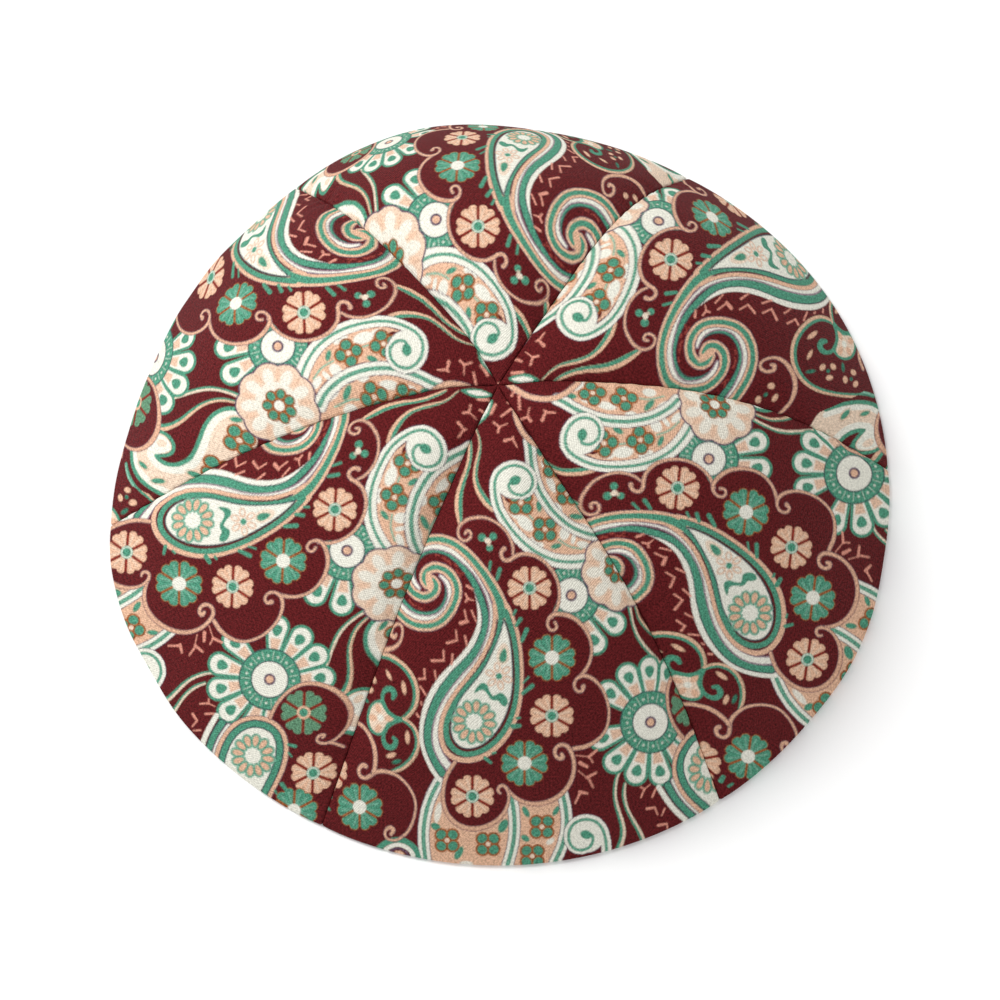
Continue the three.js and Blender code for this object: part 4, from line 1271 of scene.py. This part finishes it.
def in_one_repeat(x, y):
    """Brings places beyond the charted repeat back into it."""
    left = x < np.where(y < REPEAT_STEP + REPEAT_RISE, REPEAT_LEFT, REPEAT_LOW_LEFT)
    right = x > np.where(y < REPEAT_STEP, REPEAT_RIGHT, REPEAT_LOW_RIGHT)
    x = x + REPEAT_ASIDE * (left * 1.0 - right * 1.0)
    y = y - REPEAT_RISE * (left * 1.0 - right * 1.0)
    below = (y > GLIDE_FROM) & (x > GLIDE_LEFT)
    return np.where(below, GLIDE_MIRROR - x, x), np.where(below, y - GLIDE_DOWN, y)


def whole_print(x, y):
    """The colours of the whole print at any places."""
    cloth = Print(*in_one_repeat(x, y))
    for tendril in TENDRILS:
        cloth.two_tone(tendril["points"], tendril["left"], tendril["right"])
    paint(cloth, CROWN_TIP)
    daisy(cloth, *BIG_DAISY, BIG_DAISY_PETALS, ring=6.4, disc=3.75)
    daisy(cloth, *SMALL_DAISY, SMALL_DAISY_PETALS, ring=6.2, disc=3.5)
    upper_leaf(cloth)
    right_leaf(cloth)
    cream_flower(cloth, *CREAM_FLOWER)
    lower_leaves(cloth)
    for outline in LOOP_GROUNDS:
        cloth.fill(outline, GROUND)
    paint(cloth, RIGHT_PAISLEY)
    rosette(cloth, *ROSETTES[1])
    double_curl(cloth)
    cloth.stroke(OUTER_WHITE, CREAM)
    second_white = turned(THIN_WHITE[:HOOK_WHITE_POINTS], HOOK_CENTRE)
    second_green = turned(MAIN_GREEN[:HOOK_GREEN_POINTS], HOOK_CENTRE)
    hook(cloth, turned(ARM, HOOK_CENTRE), second_white, second_green)
    hook(cloth, ARM, THIN_WHITE, MAIN_GREEN)
    cloth.petal(*HOOK_CENTRE, 4.4, 1.7, 75, PEACH)
    paisley(cloth)
    for points in SCALLOPS:
        cloth.stroke(points, LINE_PEACH, edge=PLUM, edge_width=0.1)
        cloth.curve(smooth(points) * [1, 1, 0.6], PEACH, strength=0.7)
    trefoil(cloth, *TREFOIL)
    for kind, places in FLOWERS.items():
        for place in places:
            notched_flower(cloth, *place, kind)
    for marks, colour in ((PINK_MARKS, PINK), (DIM_MARKS, DIM_PINK), (GREEN_MARKS, GREEN)):
        for x0, y0, x1, y1, width in marks:
            cloth.curve(np.array([(x0, y0, width), (x1, y1, width * 0.8)]), colour)
    return cloth.colour


# The gores

PATTERN_GAP = 0.1  # between the flat pattern's two faces, whose triangle has a radius of 1


def deselect_all():
    """Leaves edit mode and selects nothing."""
    if bpy.context.object and bpy.context.object.mode != "OBJECT":
        bpy.ops.object.mode_set(mode="OBJECT")
    bpy.ops.object.select_all(action="DESELECT")


def triangle_lattice(name, steps, height):
    """A triangle cut into steps by steps even triangles, at a height."""
    deselect_all()
    bpy.ops.mesh.primitive_circle_add(vertices=3, radius=1, fill_type="NGON", location=(0, 0, 0))
    lattice = bpy.context.object
    lattice.name = name
    bpy.ops.object.mode_set(mode="EDIT")
    bpy.ops.mesh.select_all(action="SELECT")
    bpy.ops.mesh.subdivide(number_cuts=FIRST_CUTS - 1)
    bpy.ops.mesh.subdivide(number_cuts=steps // FIRST_CUTS - 1)
    bpy.ops.mesh.quads_convert_to_tris()
    bpy.ops.transform.translate(value=(0, 0, height))
    bpy.ops.object.mode_set(mode="OBJECT")
    return lattice


def cloth_pattern():
    """A flat pattern of a gore: the outer face above, the inner one below, joined at the edges."""
    outer = triangle_lattice("outer_pattern", LATTICE_STEPS, 0.0)
    triangle_lattice("inner_pattern", LINING_STEPS, -PATTERN_GAP)
    bpy.ops.object.mode_set(mode="EDIT")
    bpy.ops.mesh.select_all(action="SELECT")
    bpy.ops.mesh.flip_normals()
    bpy.ops.object.mode_set(mode="OBJECT")
    outer.select_set(True)
    bpy.context.view_layer.objects.active = outer
    bpy.ops.object.join()
    bpy.ops.object.mode_set(mode="EDIT")
    bpy.ops.mesh.select_mode(type="EDGE")
    bpy.ops.mesh.select_all(action="DESELECT")
    bpy.ops.mesh.select_non_manifold()
    bpy.ops.mesh.bridge_edge_loops()
    bpy.ops.mesh.select_all(action="SELECT")
    bpy.ops.mesh.quads_convert_to_tris()
    bpy.ops.object.mode_set(mode="OBJECT")
    return outer


def vertex_places(mesh):
    """Where each point of a mesh is, one row a point."""
    places = np.empty(len(mesh.vertices) * 3)
    mesh.vertices.foreach_get("co", places)
    return places.reshape(-1, 3)


def pattern_shares(places):
    """Where each point of the pattern lies: share across the gore, share of its length."""
    corners = np.array([[np.sin(a), np.cos(a)] for a in np.radians([0, 120, 240])])
    height = 1.5  # of a triangle with a radius of 1
    lengths = 1 - ((places[:, :2] @ corners[0]) + 0.5) / height
    sideways = (places[:, :2] @ (corners[1] - corners[2])) / height
    across = 0.5 + sideways / 2 / np.maximum(lengths, 1e-6)
    return np.clip(across, 0, 1), np.clip(lengths, 0, 1)


def add_layer(mesh, name, kind, values):
    """Stores three numbers for each point of a mesh."""
    layer = mesh.attributes.new(name, kind, "POINT")
    if kind == "FLOAT_COLOR":
        values = np.concatenate([values, np.ones((len(values), 1))], 1)
        layer.data.foreach_set("color", values.ravel())
    else:
        layer.data.foreach_set("vector", values.ravel())


def sew_gore(name, gore, pattern, materials):
    """One gore: its own copy of the pattern, bent to its place on the dome and printed."""
    deselect_all()
    pattern.select_set(True)
    bpy.context.view_layer.objects.active = pattern
    bpy.ops.object.duplicate()
    piece = bpy.context.object
    piece.name = "cloth_" + name
    mesh = piece.data
    mesh.name = piece.name
    flat_places = vertex_places(mesh)
    inner = flat_places[:, 2] < -PATTERN_GAP / 2
    across, length = pattern_shares(flat_places)
    outer_points, down, share = outer_face(gore, across, length)
    inner_points = lining_face(gore, across, length)
    points = np.where(inner[:, None], inner_points, outer_points)
    mesh.vertices.foreach_set("co", ((points + SHIFT) * METRES).ravel())
    places = print_places(gore, share, down)
    colours = np.tile(GROUND, (len(places), 1))
    colours[~inner] = whole_print(places[~inner, 0], places[~inner, 1])
    add_layer(mesh, "print", "FLOAT_COLOR", colours)
    add_layer(mesh, "cloth_place", "FLOAT_VECTOR", np.column_stack([places, np.zeros(len(places))]))
    mesh.materials.clear()
    for material in materials:
        mesh.materials.append(material)
    corners = np.empty(len(mesh.polygons) * 3, int)
    mesh.polygons.foreach_get("vertices", corners)
    lined = inner[corners.reshape(-1, 3)].any(axis=1)
    mesh.polygons.foreach_set("material_index", lined.astype(int))
    mesh.polygons.foreach_set("use_smooth", np.ones(len(mesh.polygons), bool))
    mesh.update()
    return piece


# Materials


class Nodes:
    """Adds nodes to a tree in short lines."""

    def __init__(self, tree):
        self.tree = tree

    def add(self, kind, **settings):
        """A new node with its settings."""
        node = self.tree.nodes.new(kind)
        for name, value in settings.items():
            setattr(node, name, value)
        return node

    def feed(self, node, **inputs):
        """Sets or links inputs by name, or by number as n0, n1 and so on."""
        for name, value in inputs.items():
            numbered = name[0] == "n" and name[1:].isdigit()
            socket = node.inputs[int(name[1:]) if numbered else name]
            if isinstance(value, bpy.types.NodeSocket):
                self.tree.links.new(value, socket)
            else:
                socket.default_value = value
        return node

    def maths(self, operation, first, second=0.0, third=0.0):
        """The outcome of one sum."""
        node = self.feed(self.add("ShaderNodeMath", operation=operation), n0=first, n1=second, n2=third)
        return node.outputs[0]


def weave_group():
    """The cloth's weave: how high each thread stands, and how its shade varies with grain, slubs and painted
    shade that darkens the hollows between the threads and lightens their tops.
    """
    group = bpy.data.node_groups.new("weave", "ShaderNodeTree")
    group.interface.new_socket("Place", in_out="INPUT", socket_type="NodeSocketVector")
    group.interface.new_socket("Height", in_out="OUTPUT", socket_type="NodeSocketFloat")
    group.interface.new_socket("Shade", in_out="OUTPUT", socket_type="NodeSocketFloat")
    nodes = Nodes(group)
    place = nodes.add("NodeGroupInput").outputs["Place"]
    wander = nodes.add("ShaderNodeTexNoise")
    nodes.feed(wander, Vector=place, Scale=WANDER_SCALE, Detail=2.0)
    parts = nodes.feed(nodes.add("ShaderNodeSeparateXYZ"), Vector=place)
    offset = nodes.maths("MULTIPLY", wander.outputs["Fac"], WANDER)
    x = nodes.maths("ADD", parts.outputs["X"], offset)
    y = nodes.maths("ADD", parts.outputs["Y"], offset)
    around = 2 * math.pi
    rib_turn = nodes.maths("MULTIPLY", nodes.maths("ADD", x, y), around / TWILL_PITCH)
    weft_turn = nodes.maths("MULTIPLY", nodes.maths("SUBTRACT", y, x), around / WEFT_PITCH)
    rib = nodes.maths("MULTIPLY", nodes.maths("SINE", rib_turn), TWILL_HEIGHT)
    weft = nodes.maths("MULTIPLY", nodes.maths("SINE", weft_turn), WEFT_HEIGHT)
    height = nodes.maths("ADD", rib, weft)
    grain = nodes.add("ShaderNodeTexNoise")
    nodes.feed(grain, Vector=place, Scale=GRAIN_SCALE, Detail=1.0)
    slub = nodes.add("ShaderNodeTexNoise")
    nodes.feed(slub, Vector=place, Scale=BLOTCH_SCALE, Detail=3.0)
    unevenness = nodes.maths("SUBTRACT", grain.outputs["Fac"], 0.5)
    shade = nodes.maths("MULTIPLY_ADD", unevenness, GRAIN_DEPTH, CLOTH_SHADE)
    # painted shade: the threads' height darkens the colour in the hollows between them and lightens it on
    # their tops
    shade = nodes.maths("MULTIPLY_ADD", height, THREAD_PAINTED_SHADE, shade)
    blotch = nodes.maths("SUBTRACT", slub.outputs["Fac"], 0.5)
    shade = nodes.maths("MULTIPLY_ADD", blotch, BLOTCH_DEPTH, shade)
    nodes.feed(nodes.add("NodeGroupOutput"), Height=height, Shade=shade)
    return group


def cloth_material(name, weave, printed):
    """Woven cloth, with its own colour or with the printed one."""
    material = bpy.data.materials.new(name)
    material.use_nodes = True
    nodes = Nodes(material.node_tree)
    shader = material.node_tree.nodes["Principled BSDF"]
    place = nodes.add("ShaderNodeAttribute", attribute_name="cloth_place").outputs["Vector"]
    threads = nodes.add("ShaderNodeGroup", node_tree=weave)
    nodes.feed(threads, Place=place)
    mix = nodes.add("ShaderNodeMix", data_type="RGBA", blend_type="MULTIPLY")
    mix.inputs["Factor"].default_value = 1.0
    # A mix node's colours are its inputs 6 and 7, and its mixed colour is output 2.
    dyed = (*(GROUND * LINING_LIGHT), 1)
    shade = threads.outputs["Shade"]
    if printed:
        dyed = nodes.add("ShaderNodeAttribute", attribute_name="print").outputs["Color"]
        pale = nodes.feed(nodes.add("ShaderNodeRGBToBW"), Color=dyed).outputs[0]
        calm = nodes.maths("MULTIPLY_ADD", pale, -PALE_CALM, 1.0)
        uneven = nodes.maths("MULTIPLY", nodes.maths("SUBTRACT", shade, CLOTH_SHADE), calm)
        even = nodes.maths("MULTIPLY_ADD", pale, PALE_LIFT, CLOTH_SHADE)
        shade = nodes.maths("ADD", uneven, even)
    grey = nodes.add("ShaderNodeCombineColor")
    for channel in range(3):
        material.node_tree.links.new(shade, grey.inputs[channel])
    nodes.feed(mix, n6=dyed, n7=grey.outputs["Color"])
    bump = nodes.add("ShaderNodeBump")
    nodes.feed(bump, Strength=BUMP_STRENGTH, Distance=BUMP_DISTANCE, Height=threads.outputs["Height"])
    nodes.feed(shader, Normal=bump.outputs["Normal"], Roughness=ROUGHNESS)
    nodes.feed(shader, **{"Base Color": mix.outputs[2], "Specular IOR Level": SPECULAR})
    return material


def kippah():
    """All six gores of the cap, each standing for its solid."""
    pattern = cloth_pattern()
    weave = weave_group()
    printed = cloth_material("printed_cloth", weave, True)
    plain = cloth_material("plain_cloth", weave, False)
    for name, gore in GORES.items():
        piece = sew_gore(name, gore, pattern, (printed, plain))
        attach(piece, "root")
        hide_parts("gore_" + name)
    deselect_all()
    pattern.select_set(True)
    bpy.ops.object.delete()


# Floor, light, camera


def white_floor():
    """A wide white floor under the cap."""
    deselect_all()
    bpy.ops.mesh.primitive_plane_add(size=FLOOR_SIZE, location=(0, 0, 0))
    floor = bpy.context.object
    floor.name = "floor"
    material = bpy.data.materials.new("white_floor")
    material.use_nodes = True
    shader = material.node_tree.nodes["Principled BSDF"]
    shader.inputs["Base Color"].default_value = (*FLOOR_WHITE, 1)
    shader.inputs["Roughness"].default_value = FLOOR_ROUGHNESS
    shader.inputs["Specular IOR Level"].default_value = 0.0
    floor.data.materials.append(material)


def light():
    """An even white surround with two soft lamps."""
    world = bpy.data.worlds.new("studio")
    world.use_nodes = True
    background = world.node_tree.nodes["Background"]
    background.inputs["Color"].default_value = (1, 1, 1, 1)
    background.inputs["Strength"].default_value = WORLD_STRENGTH
    bpy.context.scene.world = world
    bpy.context.scene.view_settings.view_transform = "Standard"
    for lamp_row in LAMPS:
        bpy.ops.object.light_add(type="AREA", location=lamp_row["place"])
        lamp = bpy.context.object
        lamp.name = lamp_row["name"]
        lamp.data.energy = lamp_row["power"]
        lamp.data.size = lamp_row["size"]
        heading = Vector(LAMP_AIM) - Vector(lamp_row["place"])
        lamp.rotation_euler = heading.to_track_quat("-Z", "Y").to_euler()


def camera():
    """The photo's view: the rim's middle falls on its pixel."""
    tilt = math.radians(CAMERA_TILT)
    toward = np.array([0, -math.cos(tilt), math.sin(tilt)])
    up = np.array([0, math.sin(tilt), math.cos(tilt)])
    right = np.array([1.0, 0, 0])
    place = SHIFT + toward * CAMERA_DISTANCE
    data = bpy.data.cameras.new("photo_camera")
    data.sensor_width = SENSOR
    data.lens = PIXELS_PER_MM * CAMERA_DISTANCE / IMAGE_SIZE * SENSOR
    data.shift_x = 0.5 - RIM_MIDDLE_PIXEL[0] / IMAGE_SIZE
    data.shift_y = RIM_MIDDLE_PIXEL[1] / IMAGE_SIZE - 0.5
    eye = bpy.data.objects.new("photo_camera", data)
    bpy.context.scene.collection.objects.link(eye)
    turn = Matrix([right, up, toward]).transposed().to_4x4()
    eye.matrix_world = Matrix.Translation(Vector(place * METRES)) @ turn
    bpy.context.scene.camera = eye


kippah()
white_floor()
light()
camera()
